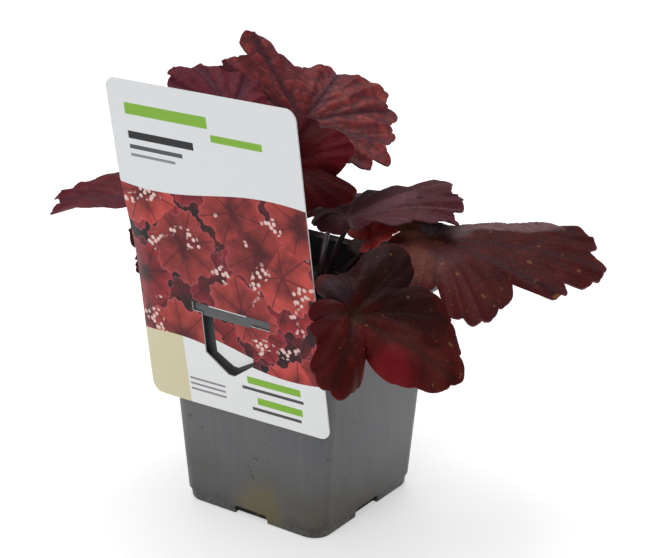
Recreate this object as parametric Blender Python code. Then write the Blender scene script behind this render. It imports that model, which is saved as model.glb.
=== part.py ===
"""A red-leaved heuchera in its square nursery pot, with the label card that hangs on the pot's lip.

Metres, +Z up. The origin is the middle of the pot's foot, and the pot's sides lie along X and Y.
The card hangs on the -Y side. Lengths below are named in millimetres and turned into metres by MM.
"""
import math
import random

import bmesh
import bpy
from mathutils import Matrix, Vector

MM = 0.001
GAP = 0.3                     # between pieces that touch

# Pot: half widths of the outer wall, and the lip that runs round its top
POT_HEIGHT = 98.0
FOOT_HALF = 35.2
TOP_HALF = 41.8
WALL = 1.0
CORNER = 8.4
STEP_HEIGHT = 5.0             # the small step near the foot
STEP_DEPTH = 0.6
LIP_HALF = 46.0
SKIRT = 6.5                   # how far the lip hangs down
ARC_STEPS = 5                 # points in a quarter turn of each corner

# Label slot in the lip, and the drainage openings at the foot
SLOT_MIDDLE = -1.5
SLOT_WIDTH = 24.5
SLOT_DROP = 2.0
NOTCH_WIDTH = 12.0
NOTCH_HEIGHT = 4.0
NOTCH_DEPTH = 10.0
DRAIN_RADIUS = 3.0
DRAIN_PLACE = 20.0

# Soil and rootstock
SOIL_TOP = 86.0
SOIL_BUMP = 0.9
HOLE_DEPTH = 8.0
CROWN_RADIUS = 5.6
CROWN_TIP_RADIUS = 3.6
CROWN_TOP = 90.5
KNOBS = 6
KNOB_RADIUS = 2.3
KNOB_PLACE = 3.0              # from the crown's middle
STUBS = 4                     # of old stalks
STUB_PLACE = 1.9
STUB_TALL = 3.5               # the lowest one, above the crown
STUB_STEP = 1.2               # and each next one is so much taller

# Label card: a plastic sheet with a window and a tongue
CARD_WIDTH = 90.0
CARD_HEIGHT = 139.5
CARD_CORNER = 4.5
CARD_THICK = 0.6
CARD_TILT = 8.2               # degrees, the top leaning out
CARD_TURN = 1.5               # degrees, turned in its own plane
CARD_MIDDLE = (-3.1, 23.9)    # across and up from where it passes the lip
CARD_TOUCH_HEIGHT = 91.5      # the skirt's lower edge, where the card touches it
LIP_LINE = 95.0               # the height that the card's own places are measured from
SLIT_WIDTH = 38.0
SLIT_TOP = 1.9
SLIT_FOOT = -2.2
WINDOW_MIDDLE = -2.7
WINDOW_WIDTH = 24.0
WINDOW_SHOULDER = -20.3
WINDOW_POINT = -28.0
TONGUE_WIDTH = 18.4
TONGUE_SHOULDER = 75.5
TONGUE_POINT = 70.8

# Leaves
BLADE_THICK = 0.9
STALK_TOP = 0.85              # radius where the stalk meets the blade
STALK_FOOT = 1.5
STALK_REACH = 3.0             # how far the stalk runs on under the blade
STALK_POINTS = 9
RINGS = (0.38, 0.74, 1.0)     # rings of points between the stalk and the margin
TOOTH_WIDTH = 7.0
TOOTH = 0.07                  # a tooth's depth, as a part of the reach
CLEFT = 0.27                  # the depth of the cleft between two lobes that are
WIDE_TURN = 45.0              # this many degrees apart, or more
SUNKEN = 0.94                 # an entry this much inside its neighbours is a cleft
END_ANGLE = 30.0              # degrees from an outer lobe to the edge beside the stalk
END_TEETH = 2


class Leaf:
    """One leaf. junction is where the stalk meets the blade and foot is where it stands in the soil.
    heading, pitch and roll turn the blade, and each lobe is (bearing from the heading, reach, rise of
    the tip above the blade's plane), with bearings counted anticlockwise as seen from above."""

    def __init__(self, junction, foot, turn, lobes, bulge=3.0, ruffle=2.0):
        self.junction = Vector(junction)
        self.foot = foot
        heading, pitch, roll = (math.radians(a) for a in turn)
        self.turn = (Matrix.Rotation(heading, 3, "Z") @ Matrix.Rotation(-pitch, 3, "Y")
                     @ Matrix.Rotation(roll, 3, "X"))
        self.lobes = lobes
        self.bulge = bulge
        self.ruffle = ruffle


LEAVES = {
    "leaf_crest": Leaf((-18, 26, 153), (-5, 10), (91, 16, 32), [
        (-118, 27, 8), (-98, 36, 8), (-92, 33, 8), (-86, 40, 8), (-73, 34, 7), (-60, 38, 7), (-51, 35, 6),
        (-41, 41, 5), (-30, 38, 4), (-22, 43, 4), (-9, 40, 3), (3, 37, 1), (9, 33, 0), (16, 38, -1),
        (31, 31, 0), (46, 27, 2), (58, 32, 6), (67, 41, 9), (75, 44, 11), (83, 41, 11), (89, 33, 10),
        (97, 38, 10), (110, 42, 9)]),
    "leaf_upper_left": Leaf((-21, -21, 165), (-9.5, -4), (128, 17, 20), [
        (-125, 22, 5), (-75, 20, 4), (-46, 22, 3), (-30, 29, 2), (-16, 35, 1), (0, 33, 1), (16, 34, 1),
        (27, 32, 1), (33, 29, 1), (42, 32, 2), (60, 30, 4), (74, 27, 4), (120, 25, 2)]),
    "leaf_upright": Leaf((-7, -1, 143), (-10, 3.5), (121, 37, -1), [
        (-150, 25, 2), (-136, 28, 1), (-122, 32, 1), (-112, 31, 0), (-102, 20, -1), (-90, 24, 3),
        (-77, 28, 4), (-62, 27, 4), (-45, 24, 3), (-37, 21, 2), (-27, 24, 2), (-10, 23, 3), (30, 22, 3),
        (75, 18, 0), (120, 18, -2)]),
    "leaf_left": Leaf((-50, -27, 124), (-13, -2.5), (195, 0, 0), [
        (-115, 26, 0), (-80, 36, 2), (-41, 45, 2), (-21, 43, 1), (-9, 47, -1), (1, 48, -2), (10, 43, -1),
        (24, 45, -2), (40, 35, 4), (66, 25, 6), (100, 17, 5)]),
    "leaf_low_left": Leaf((-36, -25, 106), (-10.5, -10), (200, -4, -8), [
        (-100, 24, -3), (-62, 34, -1), (-32, 40, 0), (-16, 31, 0), (8, 24, 0), (34, 24, -1), (64, 20, -3)]),
    "leaf_middle": Leaf((14, 12, 121), (7.5, 8.5), (52, 5, 4), [
        (-118, 14, 0), (-90, 15, 3), (-58, 26, 8), (-36, 36, 7), (-24, 44, 2), (-17, 42, 1), (-8, 48, 0),
        (1, 50, 0), (6, 48, 0), (19, 54, 0), (30, 42, 0), (45, 33, 0), (64, 28, 0), (90, 23, 0),
        (117, 21, 0), (148, 13, 0)]),
    "leaf_right": Leaf((45, 27, 115), (15.5, -1), (-3, -12, 0), [
        (-150, 15, 3), (-104, 22, 0), (-84, 28, -1), (-66, 38, -3), (-55, 38, -3), (-49, 33, -4),
        (-43, 50, -6), (-36, 56, -6), (-27, 53, -6), (-12, 46, -5), (1, 40, -3), (5, 57, -1), (10, 60, 0),
        (16, 56, 0), (20, 64, 0), (28, 69, 0), (37, 72, 0), (45, 66, 0), (52, 72, 0), (60, 73, 0),
        (69, 68, -1), (75, 56, -2), (81, 41, -2), (87, 25, -1), (123, 18, 0)]),
    "leaf_young": Leaf((20, 21, 111), (9, 14), (29, 25, 14), [
        (-110, 9, 1), (-70, 9, 1), (-35, 11, 1), (-12, 13, 1), (12, 15, 0), (32, 17, 0), (59, 21, 0),
        (87, 23, 0), (116, 18, 0)], bulge=1.5, ruffle=1.0),
    "leaf_front": Leaf((57, -48, 109), (13, -9), (26, -33, 26), [
        (-155, 15, -4), (-122, 17, -4), (-107, 17, -5), (-97, 26, -6), (-84, 31, -6), (-69, 33, -6),
        (-55, 27, -5), (-43, 16, -2), (-27, 30, -1), (-9, 42, -1), (8, 49, 0), (27, 45, 0), (45, 43, 0),
        (57, 39, 0), (64, 30, 0), (74, 40, 0), (84, 44, 0), (99, 35, -1), (114, 21, -3), (142, 20, -3)],
        bulge=4.0),
    "leaf_inner": Leaf((12, 27, 98), (6.5, 19), (50, 17, 7), [
        (-105, 10, 1), (-60, 15, 1), (-10, 18, 0), (37, 20, -1), (80, 16, 2)], bulge=1.5, ruffle=1.0),
    "leaf_back_left": Leaf((-52, 22, 113), (-13.5, 8), (159, -6, -14), [
        (-110, 24, -3), (-74, 32, -3), (-38, 44, 0), (-8, 46, 1), (26, 38, 1), (62, 30, -4), (100, 22, -3)]),
    "leaf_back": Leaf((-20, 50, 106), (0.5, 13.5), (112, -7, -6), [
        (-110, 22, 0), (-72, 28, 1), (-34, 36, -2), (2, 44, 0), (36, 42, 1), (72, 30, -2), (106, 22, -1)]),
    "leaf_behind_card": Leaf((-8, -24, 116), (1, -13), (-110, 6, 4), [
        (-105, 16, 0), (-66, 20, 0), (-26, 21, 1), (16, 20, 1), (58, 20, 0), (98, 17, 0)], bulge=2.0),
}


def clear_scene():
    for obj in list(bpy.data.objects):
        bpy.data.objects.remove(obj, do_unlink=True)


def new_collection(name):
    collection = bpy.data.collections.new(name)
    bpy.context.scene.collection.children.link(collection)
    return collection


def new_material(name, colour, roughness):
    material = bpy.data.materials.new(name)
    material.use_nodes = True
    shader = material.node_tree.nodes["Principled BSDF"]
    shader.inputs["Base Color"].default_value = (*colour, 1.0)
    shader.inputs["Roughness"].default_value = roughness
    return material


def mesh_object(name, bm, collection, material=None):
    """A mesh object from a bmesh in millimetres."""
    bmesh.ops.scale(bm, vec=(MM, MM, MM), verts=bm.verts)
    mesh = bpy.data.meshes.new(name)
    bm.to_mesh(mesh)
    bm.free()
    obj = bpy.data.objects.new(name, mesh)
    collection.objects.link(obj)
    if material:
        mesh.materials.append(material)
    return obj


def as_cutter(obj):
    obj.hide_render = True
    obj.display_type = "WIRE"
    return obj


def join_all(body, others, operation):
    """Unite the body with a collection of others, or cut them out of it, and keep the result."""
    modifier = body.modifiers.new("join", "BOOLEAN")
    modifier.operand_type = "COLLECTION"
    modifier.collection = others
    modifier.operation = operation
    evaluated = body.evaluated_get(bpy.context.evaluated_depsgraph_get())
    mesh = bpy.data.meshes.new_from_object(evaluated)
    body.modifiers.clear()
    body.data = mesh
    for obj in list(others.objects):
        bpy.data.objects.remove(obj, do_unlink=True)


def square_ring(half, corner):
    """Points of a square with round corners, anticlockwise from the +X side's end."""
    points = []
    for quarter in range(4):
        turn = quarter * math.pi / 2
        centre = Vector((half - corner, half - corner))
        for step in range(ARC_STEPS + 1):
            angle = step / ARC_STEPS * math.pi / 2
            point = centre + corner * Vector((math.cos(angle), math.sin(angle)))
            points.append(Matrix.Rotation(turn, 2) @ point)
    return points


def square_loft(name, sections, collection, material):
    """A closed skin over round-cornered squares, given as (half width, corner radius, height) and
    how much the height varies by chance. Both ends are closed by a fan to the middle."""
    draw = random.Random(5)
    bm = bmesh.new()
    rings = []
    for half, corner, height, bump in sections:
        rings.append([bm.verts.new((point.x, point.y, height + draw.uniform(-bump, bump)))
                      for point in square_ring(half, corner)])
    count = len(rings[0])
    for below, above in zip(rings, rings[1:]):
        for i in range(count):
            j = (i + 1) % count
            bm.faces.new((below[i], below[j], above[j], above[i]))
    for ring, height, first in ((rings[0], sections[0][2], True), (rings[-1], sections[-1][2], False)):
        middle = bm.verts.new((0, 0, height))
        for i in range(count):
            j = (i + 1) % count
            bm.faces.new((ring[j], ring[i], middle) if first else (ring[i], ring[j], middle))
    bmesh.ops.triangulate(bm, faces=bm.faces)
    return mesh_object(name, bm, collection, material)


def box(name, low, high, collection):
    bm = bmesh.new()
    size = Vector(high) - Vector(low)
    centre = (Vector(high) + Vector(low)) / 2
    bmesh.ops.create_cube(bm, size=1.0, matrix=Matrix.Translation(centre) @ Matrix.Diagonal((*size, 1.0)))
    return as_cutter(mesh_object(name, bm, collection))


def rod(name, centre, radius, low, high, collection, sides=12, top_radius=None):
    """An upright round rod, or a cone where its top radius differs."""
    bm = bmesh.new()
    top = radius if top_radius is None else top_radius
    place = Matrix.Translation((centre[0], centre[1], (low + high) / 2))
    bmesh.ops.create_cone(bm, cap_ends=True, segments=sides, radius1=radius, radius2=top,
                          depth=high - low, matrix=place)
    return as_cutter(mesh_object(name, bm, collection))


def wall_half(height):
    """The outer wall's half width at a height above the foot's step."""
    return FOOT_HALF + (TOP_HALF - FOOT_HALF) * height / POT_HEIGHT


def build_pot(parts, cutters, material):
    foot = FOOT_HALF - STEP_DEPTH
    step = wall_half(STEP_HEIGHT)
    skirt_foot = POT_HEIGHT - SKIRT
    inner_foot = FOOT_HALF - STEP_DEPTH - WALL
    inner_step = wall_half(STEP_HEIGHT) - WALL
    lip_corner = CORNER + LIP_HALF - TOP_HALF
    sections = [
        (foot - 1.0, CORNER - 1.0, 0.0),
        (foot, CORNER, 1.0),
        (foot + 0.3, CORNER, STEP_HEIGHT - 0.4),
        (step, CORNER, STEP_HEIGHT),
        (TOP_HALF, CORNER, POT_HEIGHT - WALL),
        (LIP_HALF - WALL, lip_corner - WALL, POT_HEIGHT - WALL),
        (LIP_HALF - WALL, lip_corner - WALL, skirt_foot),
        (LIP_HALF, lip_corner, skirt_foot),
        (LIP_HALF, lip_corner, POT_HEIGHT - 0.4),
        (LIP_HALF - 0.4, lip_corner - 0.4, POT_HEIGHT),
        (TOP_HALF - WALL, CORNER - WALL, POT_HEIGHT),
        (inner_step, CORNER - WALL, STEP_HEIGHT + 0.6),
        (inner_foot, CORNER - WALL, STEP_HEIGHT),
        (inner_foot, CORNER - WALL, WALL),
    ]
    pot = square_loft("pot", [(*section, 0.0) for section in sections], parts, material)
    slot_low = SLOT_MIDDLE - SLOT_WIDTH / 2
    slot_high = SLOT_MIDDLE + SLOT_WIDTH / 2
    box("label_recess", (slot_low, -LIP_HALF - 2, POT_HEIGHT - SLOT_DROP),
        (slot_high, -TOP_HALF - 0.05, POT_HEIGHT + 2), cutters)
    for side in range(4):
        notch = box("notch", (-NOTCH_WIDTH / 2, -FOOT_HALF - 3, -2),
                    (NOTCH_WIDTH / 2, NOTCH_DEPTH - FOOT_HALF, NOTCH_HEIGHT), cutters)
        notch.data.transform(Matrix.Rotation(side * math.pi / 2, 4, "Z"))
        spot = Matrix.Rotation(side * math.pi / 2, 2) @ Vector((DRAIN_PLACE, DRAIN_PLACE))
        rod("drain", spot, DRAIN_RADIUS, -1, WALL + 1, cutters)
    join_all(pot, cutters, "DIFFERENCE")
    return pot


def build_soil(parts, cutters, material):
    clear = WALL + GAP
    corner = CORNER - clear
    foot = FOOT_HALF - STEP_DEPTH - clear
    over_step = STEP_HEIGHT + 1.4
    top = wall_half(SOIL_TOP) - clear
    sections = [
        (foot, corner, WALL + GAP, 0.0),
        (foot, corner, STEP_HEIGHT + 0.2, 0.0),
        (wall_half(STEP_HEIGHT) - clear, corner, over_step, 0.0),
        (top, corner, SOIL_TOP - 1.0, 0.0),
        (top * 0.86, corner, SOIL_TOP, SOIL_BUMP),
        (top * 0.62, corner, SOIL_TOP, SOIL_BUMP),
        (top * 0.40, corner, SOIL_TOP + 0.4, SOIL_BUMP),
    ]
    soil = square_loft("soil", sections, parts, material)
    hole_foot, over_soil = SOIL_TOP - HOLE_DEPTH - GAP, SOIL_TOP + 5
    rod("crown_hole", (0, 0), CROWN_RADIUS + GAP, hole_foot, over_soil, cutters, sides=16)
    for leaf in LEAVES.values():
        rod("stalk_hole", leaf.foot, STALK_FOOT + GAP, hole_foot, over_soil, cutters, sides=8)
    join_all(soil, cutters, "DIFFERENCE")
    return soil


def build_crown(parts, pieces, material):
    """The rootstock: a stout plug in the soil with knobs, and stubs of old stalks."""
    draw = random.Random(11)
    crown = rod("crown", (0, 0), CROWN_RADIUS, SOIL_TOP - HOLE_DEPTH, CROWN_TOP, parts, sides=14,
                top_radius=CROWN_TIP_RADIUS)
    crown.hide_render = False
    crown.display_type = "TEXTURED"
    crown.data.materials.append(material)
    for number in range(KNOBS):
        turn = number * math.tau / KNOBS + draw.uniform(-0.2, 0.2)
        height = CROWN_TOP - 1.6 + draw.uniform(-0.6, 0.8)
        place = Matrix.Translation((KNOB_PLACE * math.cos(turn), KNOB_PLACE * math.sin(turn), height))
        bm = bmesh.new()
        bmesh.ops.create_icosphere(bm, subdivisions=1, radius=KNOB_RADIUS, matrix=place)
        mesh_object("knob", bm, pieces)
    for number in range(STUBS):
        turn = number * math.tau / STUBS + 0.5
        spot = (STUB_PLACE * math.cos(turn), STUB_PLACE * math.sin(turn))
        top = CROWN_TOP + STUB_TALL + STUB_STEP * number
        rod("stub", spot, 1.0, CROWN_TOP - 3, top, pieces, sides=7, top_radius=0.8)
    join_all(crown, pieces, "UNION")
    return crown


def toothed(f, teeth):
    """A factor on the reach that makes round teeth with sharp notches, a tooth at either end of f."""
    return 1 + TOOTH * (abs(math.cos(math.pi * teeth * f)) - 0.8)


def end_of_margin(lobe, sign):
    """From an outer lobe round to the edge beside the stalk."""
    bearing, reach, rise = lobe
    spans = []
    for step in range(1, 2 * END_TEETH + 1):
        f = step / (2 * END_TEETH)
        spans.append((bearing + sign * END_ANGLE * f, reach * (1 - 0.7 * f ** 2.4) * toothed(f, END_TEETH),
                      rise * (1 - 0.5 * f), 0.6 * f))
    return spans


def is_cleft(lobes, place):
    """Whether an entry lies well inside both its neighbours, as the bottom of a cleft does."""
    around = [lobes[i][1] for i in (place - 1, place + 1) if 0 <= i < len(lobes)]
    return len(around) == 2 and lobes[place][1] < SUNKEN * min(around)


def between(lobes, place, f):
    """Reach, rise and nearness to a cleft, f of the way from one entry to the next. A cleft that is
    given is sharp, and two lobes with none given between them have a shallow round one."""
    left, right = lobes[place], lobes[place + 1]
    if is_cleft(lobes, place):
        blend, q, dip = math.sin(f * math.pi / 2), 1 - f, 0.0
    elif is_cleft(lobes, place + 1):
        blend, q, dip = 1 - math.cos(f * math.pi / 2), f, 0.0
    else:
        blend, q = f * f * (3 - 2 * f), min(2 * f, 2 - 2 * f)
        dip = CLEFT * min(1.0, (right[0] - left[0]) / WIDE_TURN) ** 2 * (0.25 * q * q + 0.75 * q ** 5)
    return (left[1] + (right[1] - left[1]) * blend) * (1 - dip), left[2] + (right[2] - left[2]) * blend, q


def margin(leaf):
    """The bearings that the blade is drawn at, each with its reach, rise, and distance from the
    nearest lobe's middle (0 there and 1 in a cleft)."""
    spans = list(reversed(end_of_margin(leaf.lobes[0], -1)))
    for place, (left, right) in enumerate(zip(leaf.lobes, leaf.lobes[1:])):
        turn = right[0] - left[0]
        teeth = max(1, round(math.radians(turn) * (left[1] + right[1]) / 2 / TOOTH_WIDTH))
        for step in range(2 * teeth):
            f = step / (2 * teeth)
            reach, rise, q = between(leaf.lobes, place, f)
            spans.append((left[0] + turn * f, reach * toothed(f, teeth), rise, q))
    last = leaf.lobes[-1]
    spans.append((last[0], last[1] * toothed(0, 1), last[2], 0.0))
    return spans + end_of_margin(last, 1)


def blade_point(leaf, bearing, reach, rise, q, t):
    """A point of the blade's middle sheet, t of the way from the stalk to the margin."""
    angle = math.radians(bearing)
    height = rise * t * t + leaf.bulge * 4 * t * (1 - t) + leaf.ruffle * t * t * (q * q - 0.3)
    flat = Vector((reach * t * math.cos(angle), reach * t * math.sin(angle), height))
    return leaf.junction + leaf.turn @ flat


def build_blade(name, leaf, parts, material):
    """Two alike faces of triangles, half a thickness to either side of the middle sheet, and a rim."""
    spans = margin(leaf)
    grid = [[leaf.junction.copy()]]
    for t in RINGS:
        grid.append([blade_point(leaf, *span, t) for span in spans])
    count = len(spans)
    sheet = bmesh.new()
    centre = sheet.verts.new(grid[0][0])
    rings = [[sheet.verts.new(point) for point in row] for row in grid[1:]]
    for i in range(count - 1):
        sheet.faces.new((centre, rings[0][i], rings[0][i + 1]))
        for inner, outer in zip(rings, rings[1:]):
            if i % 2:
                sheet.faces.new((inner[i], outer[i], outer[i + 1]))
                sheet.faces.new((inner[i], outer[i + 1], inner[i + 1]))
            else:
                sheet.faces.new((inner[i], outer[i], inner[i + 1]))
                sheet.faces.new((outer[i], outer[i + 1], inner[i + 1]))
    sheet.normal_update()
    sheet.verts.index_update()
    half = BLADE_THICK / 2
    solid = bmesh.new()
    top = [solid.verts.new(v.co + v.normal * half) for v in sheet.verts]
    low = [solid.verts.new(v.co - v.normal * half) for v in sheet.verts]
    for face in sheet.faces:
        corners = [v.index for v in face.verts]
        solid.faces.new([top[c] for c in corners])
        solid.faces.new([low[c] for c in reversed(corners)])
    for edge in sheet.edges:
        if edge.is_boundary:
            face = edge.link_faces[0]
            order = [v.index for v in face.verts]
            a, b = (v.index for v in edge.verts)
            if order[(order.index(a) + 1) % 3] != b:
                a, b = b, a
            solid.faces.new((top[b], top[a], low[a]))
            solid.faces.new((top[b], low[a], low[b]))
    sheet.free()
    return mesh_object(name, solid, parts, material)


def stalk_route(leaf):
    """A smooth route from the foot, straight up out of the soil, to just under the blade."""
    foot = Vector((*leaf.foot, SOIL_TOP - HOLE_DEPTH))
    lift = Vector((*leaf.foot, SOIL_TOP + 1.0))
    reach = min(leaf.lobes, key=lambda lobe: abs(lobe[0]))[1]
    blade_height = leaf.bulge * 4 * (1 - RINGS[0]) * STALK_REACH / reach
    end = leaf.junction + leaf.turn @ Vector((STALK_REACH, 0, blade_height - 0.5))
    span = (end - lift).length
    bend_low = lift + Vector((0, 0, span * 0.45))
    bend_high = end - (leaf.turn @ Vector((0.45, 0, 0.55))).normalized() * span * 0.25
    route = [foot]
    for step in range(STALK_POINTS):
        t = step / (STALK_POINTS - 1)
        route.append(lift * (1 - t) ** 3 + bend_low * 3 * t * (1 - t) ** 2
                     + bend_high * 3 * t * t * (1 - t) + end * t ** 3)
    return route


def build_stalk(leaf, pieces):
    """A tapered tube on the route, as a curve made into a closed mesh."""
    route = stalk_route(leaf)
    curve = bpy.data.curves.new("stalk", "CURVE")
    curve.dimensions = "3D"
    curve.bevel_depth = STALK_FOOT * MM
    curve.bevel_resolution = 1
    curve.use_fill_caps = True
    spline = curve.splines.new("POLY")
    spline.points.add(len(route) - 1)
    for index, (point, place) in enumerate(zip(spline.points, route)):
        point.co = (*(place * MM), 1.0)
        t = index / (len(route) - 1)
        point.radius = 1.0 + (STALK_TOP / STALK_FOOT - 1.0) * t
    tube = bpy.data.objects.new("stalk_curve", curve)
    pieces.objects.link(tube)
    evaluated = tube.evaluated_get(bpy.context.evaluated_depsgraph_get())
    mesh = bpy.data.meshes.new_from_object(evaluated)
    bpy.data.objects.remove(tube, do_unlink=True)
    bm = bmesh.new()
    bm.from_mesh(mesh)
    bmesh.ops.remove_doubles(bm, verts=bm.verts, dist=0.00001)
    bmesh.ops.recalc_face_normals(bm, faces=bm.faces)
    bm.to_mesh(mesh)
    bm.free()
    stalk = bpy.data.objects.new("stalk", mesh)
    pieces.objects.link(stalk)
    return stalk


def build_leaf(name, leaf, parts, pieces, material):
    blade = build_blade(name, leaf, parts, material)
    build_stalk(leaf, pieces)
    join_all(blade, pieces, "UNION")
    return blade


def card_outline(width, height, corner):
    """A round-cornered sheet about its middle."""
    points = []
    for sx, sy, start in ((1, 1, 0), (-1, 1, 90), (-1, -1, 180), (1, -1, 270)):
        for step in range(ARC_STEPS + 1):
            angle = math.radians(start + 90 * step / ARC_STEPS)
            points.append((sx * (width / 2 - corner) + corner * math.cos(angle),
                           sy * (height / 2 - corner) + corner * math.sin(angle)))
    return points


def sheet(name, outline, thickness, collection):
    """A flat outline in X and Z, given a thickness along Y."""
    curve = bpy.data.curves.new(name, "CURVE")
    curve.dimensions = "2D"
    curve.fill_mode = "BOTH"
    curve.extrude = thickness / 2 * MM
    spline = curve.splines.new("POLY")
    spline.points.add(len(outline) - 1)
    for point, (x, y) in zip(spline.points, outline):
        point.co = (x * MM, y * MM, 0.0, 1.0)
    spline.use_cyclic_u = True
    flat = bpy.data.objects.new(name, curve)
    collection.objects.link(flat)
    flat.rotation_euler = (math.pi / 2, 0, 0)
    bpy.context.view_layer.update()
    evaluated = flat.evaluated_get(bpy.context.evaluated_depsgraph_get())
    mesh = bpy.data.meshes.new_from_object(evaluated)
    mesh.transform(flat.matrix_world)
    bpy.data.objects.remove(flat, do_unlink=True)
    bm = bmesh.new()
    bm.from_mesh(mesh)
    bmesh.ops.remove_doubles(bm, verts=bm.verts, dist=0.00001)
    bmesh.ops.recalc_face_normals(bm, faces=bm.faces)
    bm.to_mesh(mesh)
    bm.free()
    obj = bpy.data.objects.new(name, mesh)
    collection.objects.link(obj)
    return obj


def card_y(height):
    """The card's middle plane at a height."""
    touch = -(LIP_HALF + GAP + CARD_THICK / 2)
    return touch - (height - CARD_TOUCH_HEIGHT) * math.tan(math.radians(CARD_TILT))


def card_frame():
    """From the flat card, with its lip line at height 0, to where it hangs."""
    tilt = Matrix.Rotation(math.radians(CARD_TILT), 4, "X")
    return Matrix.Translation(Vector((0, card_y(LIP_LINE), LIP_LINE)) * MM) @ tilt


def build_tongue(pieces):
    """The tongue: back over the lowered skirt, down through the slot, and on behind the window."""
    half = CARD_THICK / 2
    skirt_back = -(LIP_HALF - WALL)
    over = POT_HEIGHT - SLOT_DROP + GAP + half
    route = [
        (card_y(over) - 0.1, over),
        (skirt_back + GAP + half, over),
        (skirt_back + GAP + half + 0.1, POT_HEIGHT - SKIRT),
        (-41.9, TONGUE_SHOULDER),
        (-41.3, TONGUE_POINT),
    ]
    bm = bmesh.new()
    rows = []
    for index, (y, z) in enumerate(route):
        before = Vector(route[max(index - 1, 0)])
        after = Vector(route[min(index + 1, len(route) - 1)])
        along = (after - before).normalized()
        side = Vector((along.y, -along.x)) * half
        if index == 1:
            side *= math.sqrt(2)
        narrow = 0.12 if index == len(route) - 1 else 1.0
        wide = TONGUE_WIDTH / 2 * narrow
        row = []
        for x, sign in ((-wide, -1), (wide, -1), (wide, 1), (-wide, 1)):
            row.append(bm.verts.new((SLOT_MIDDLE + x, y + side.x * sign, z + side.y * sign)))
        rows.append(row)
    for first, second in zip(rows, rows[1:]):
        for i in range(4):
            j = (i + 1) % 4
            bm.faces.new((first[i], first[j], second[j], second[i]))
    bm.faces.new(rows[0])
    bm.faces.new(list(reversed(rows[-1])))
    bmesh.ops.recalc_face_normals(bm, faces=bm.faces)
    return mesh_object("tongue", bm, pieces)


def build_card(parts, pieces, cutters, material):
    card = sheet("label_card", card_outline(CARD_WIDTH, CARD_HEIGHT, CARD_CORNER), CARD_THICK, parts)
    card.data.materials.append(material)
    turn = Matrix.Rotation(math.radians(-CARD_TURN), 4, "Y")
    card.data.transform(Matrix.Translation(Vector((CARD_MIDDLE[0], 0, CARD_MIDDLE[1])) * MM) @ turn)
    side = WINDOW_WIDTH / 2
    window = [
        (-SLIT_WIDTH / 2, SLIT_TOP), (-SLIT_WIDTH / 2, SLIT_FOOT), (WINDOW_MIDDLE - side, SLIT_FOOT),
        (WINDOW_MIDDLE - side, WINDOW_SHOULDER), (WINDOW_MIDDLE - 1.5, WINDOW_POINT),
        (WINDOW_MIDDLE + 1.5, WINDOW_POINT), (WINDOW_MIDDLE + side, WINDOW_SHOULDER),
        (WINDOW_MIDDLE + side, SLIT_FOOT), (SLIT_WIDTH / 2, SLIT_FOOT), (SLIT_WIDTH / 2, SLIT_TOP)]
    as_cutter(sheet("window", window, CARD_THICK * 4, cutters))
    join_all(card, cutters, "DIFFERENCE")
    card.data.transform(card_frame())
    build_tongue(pieces)
    join_all(card, pieces, "UNION")
    return card


def main():
    clear_scene()
    parts = new_collection("heuchera_in_pot")
    cutters = new_collection("cutters")
    pieces = new_collection("pieces_to_join")
    pot_plastic = new_material("pot_plastic", (0.13, 0.135, 0.14), 0.45)
    potting_soil = new_material("potting_soil", (0.02, 0.016, 0.013), 0.95)
    rootstock = new_material("rootstock", (0.10, 0.05, 0.03), 0.85)
    leaf_red = new_material("leaf_red", (0.13, 0.012, 0.016), 0.4)
    card_plastic = new_material("card_plastic", (0.75, 0.72, 0.68), 0.3)
    build_pot(parts, cutters, pot_plastic)
    build_soil(parts, cutters, potting_soil)
    build_crown(parts, pieces, rootstock)
    for name, leaf in LEAVES.items():
        build_leaf(name, leaf, parts, pieces, leaf_red)
    build_card(parts, pieces, cutters, card_plastic)


main()
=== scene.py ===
# %% [markdown]
# A heuchera in its nursery pot: a square grey plastic pot full of dark compost, a woody crown, thirteen red
# lobed leaves on thin stalks, and a printed plastic card hooked on the pot's lip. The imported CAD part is
# loaded first and stays as it is, because every visible piece below takes its place from it. All lengths are
# in millimetres, and each finished mesh is scaled to metres once.

# %% Load the frame
import math
import random

import bmesh
import bpy
import numpy as np
from mathutils import Matrix, Vector, noise
from mathutils.geometry import delaunay_2d_cdt


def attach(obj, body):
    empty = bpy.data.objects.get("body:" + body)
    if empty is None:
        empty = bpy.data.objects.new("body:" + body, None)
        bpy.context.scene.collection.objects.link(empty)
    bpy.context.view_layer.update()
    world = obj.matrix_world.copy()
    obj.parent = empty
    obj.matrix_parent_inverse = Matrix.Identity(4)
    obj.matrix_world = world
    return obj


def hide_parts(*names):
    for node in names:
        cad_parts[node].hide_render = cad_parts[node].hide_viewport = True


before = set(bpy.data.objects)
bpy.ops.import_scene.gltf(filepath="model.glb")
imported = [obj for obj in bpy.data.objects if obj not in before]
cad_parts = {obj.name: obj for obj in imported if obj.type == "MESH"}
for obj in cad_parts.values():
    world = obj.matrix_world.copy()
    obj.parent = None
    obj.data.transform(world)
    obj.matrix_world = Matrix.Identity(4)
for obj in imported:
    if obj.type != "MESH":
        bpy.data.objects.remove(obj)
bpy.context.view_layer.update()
MM = 0.001

# %% [markdown]
# Two small helpers carry the whole file. Colours are picked as sRGB hex values, as in any paint program,
# while Blender's sockets want linear values, so one function turns them over. Node trees are built by one
# function that adds a node, sets its properties, and fills its inputs with either a value or another node's
# output. Inputs go by number where that is shorter: a Mix node has its share at 0 and its two colours at 6
# and 7, and a Map Range node turns its value, at 0, from the range of 1 to 2 into the range of 3 to 4.

# %% Colours and nodes
def linear(hex_colour):
    """An sRGB hex colour as the linear RGBA that a socket takes."""
    parts = [int(hex_colour[i:i + 2], 16) / 255 for i in (1, 3, 5)]
    return (*[c / 12.92 if c <= 0.04045 else ((c + 0.055) / 1.055) ** 2.4 for c in parts], 1.0)


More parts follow.
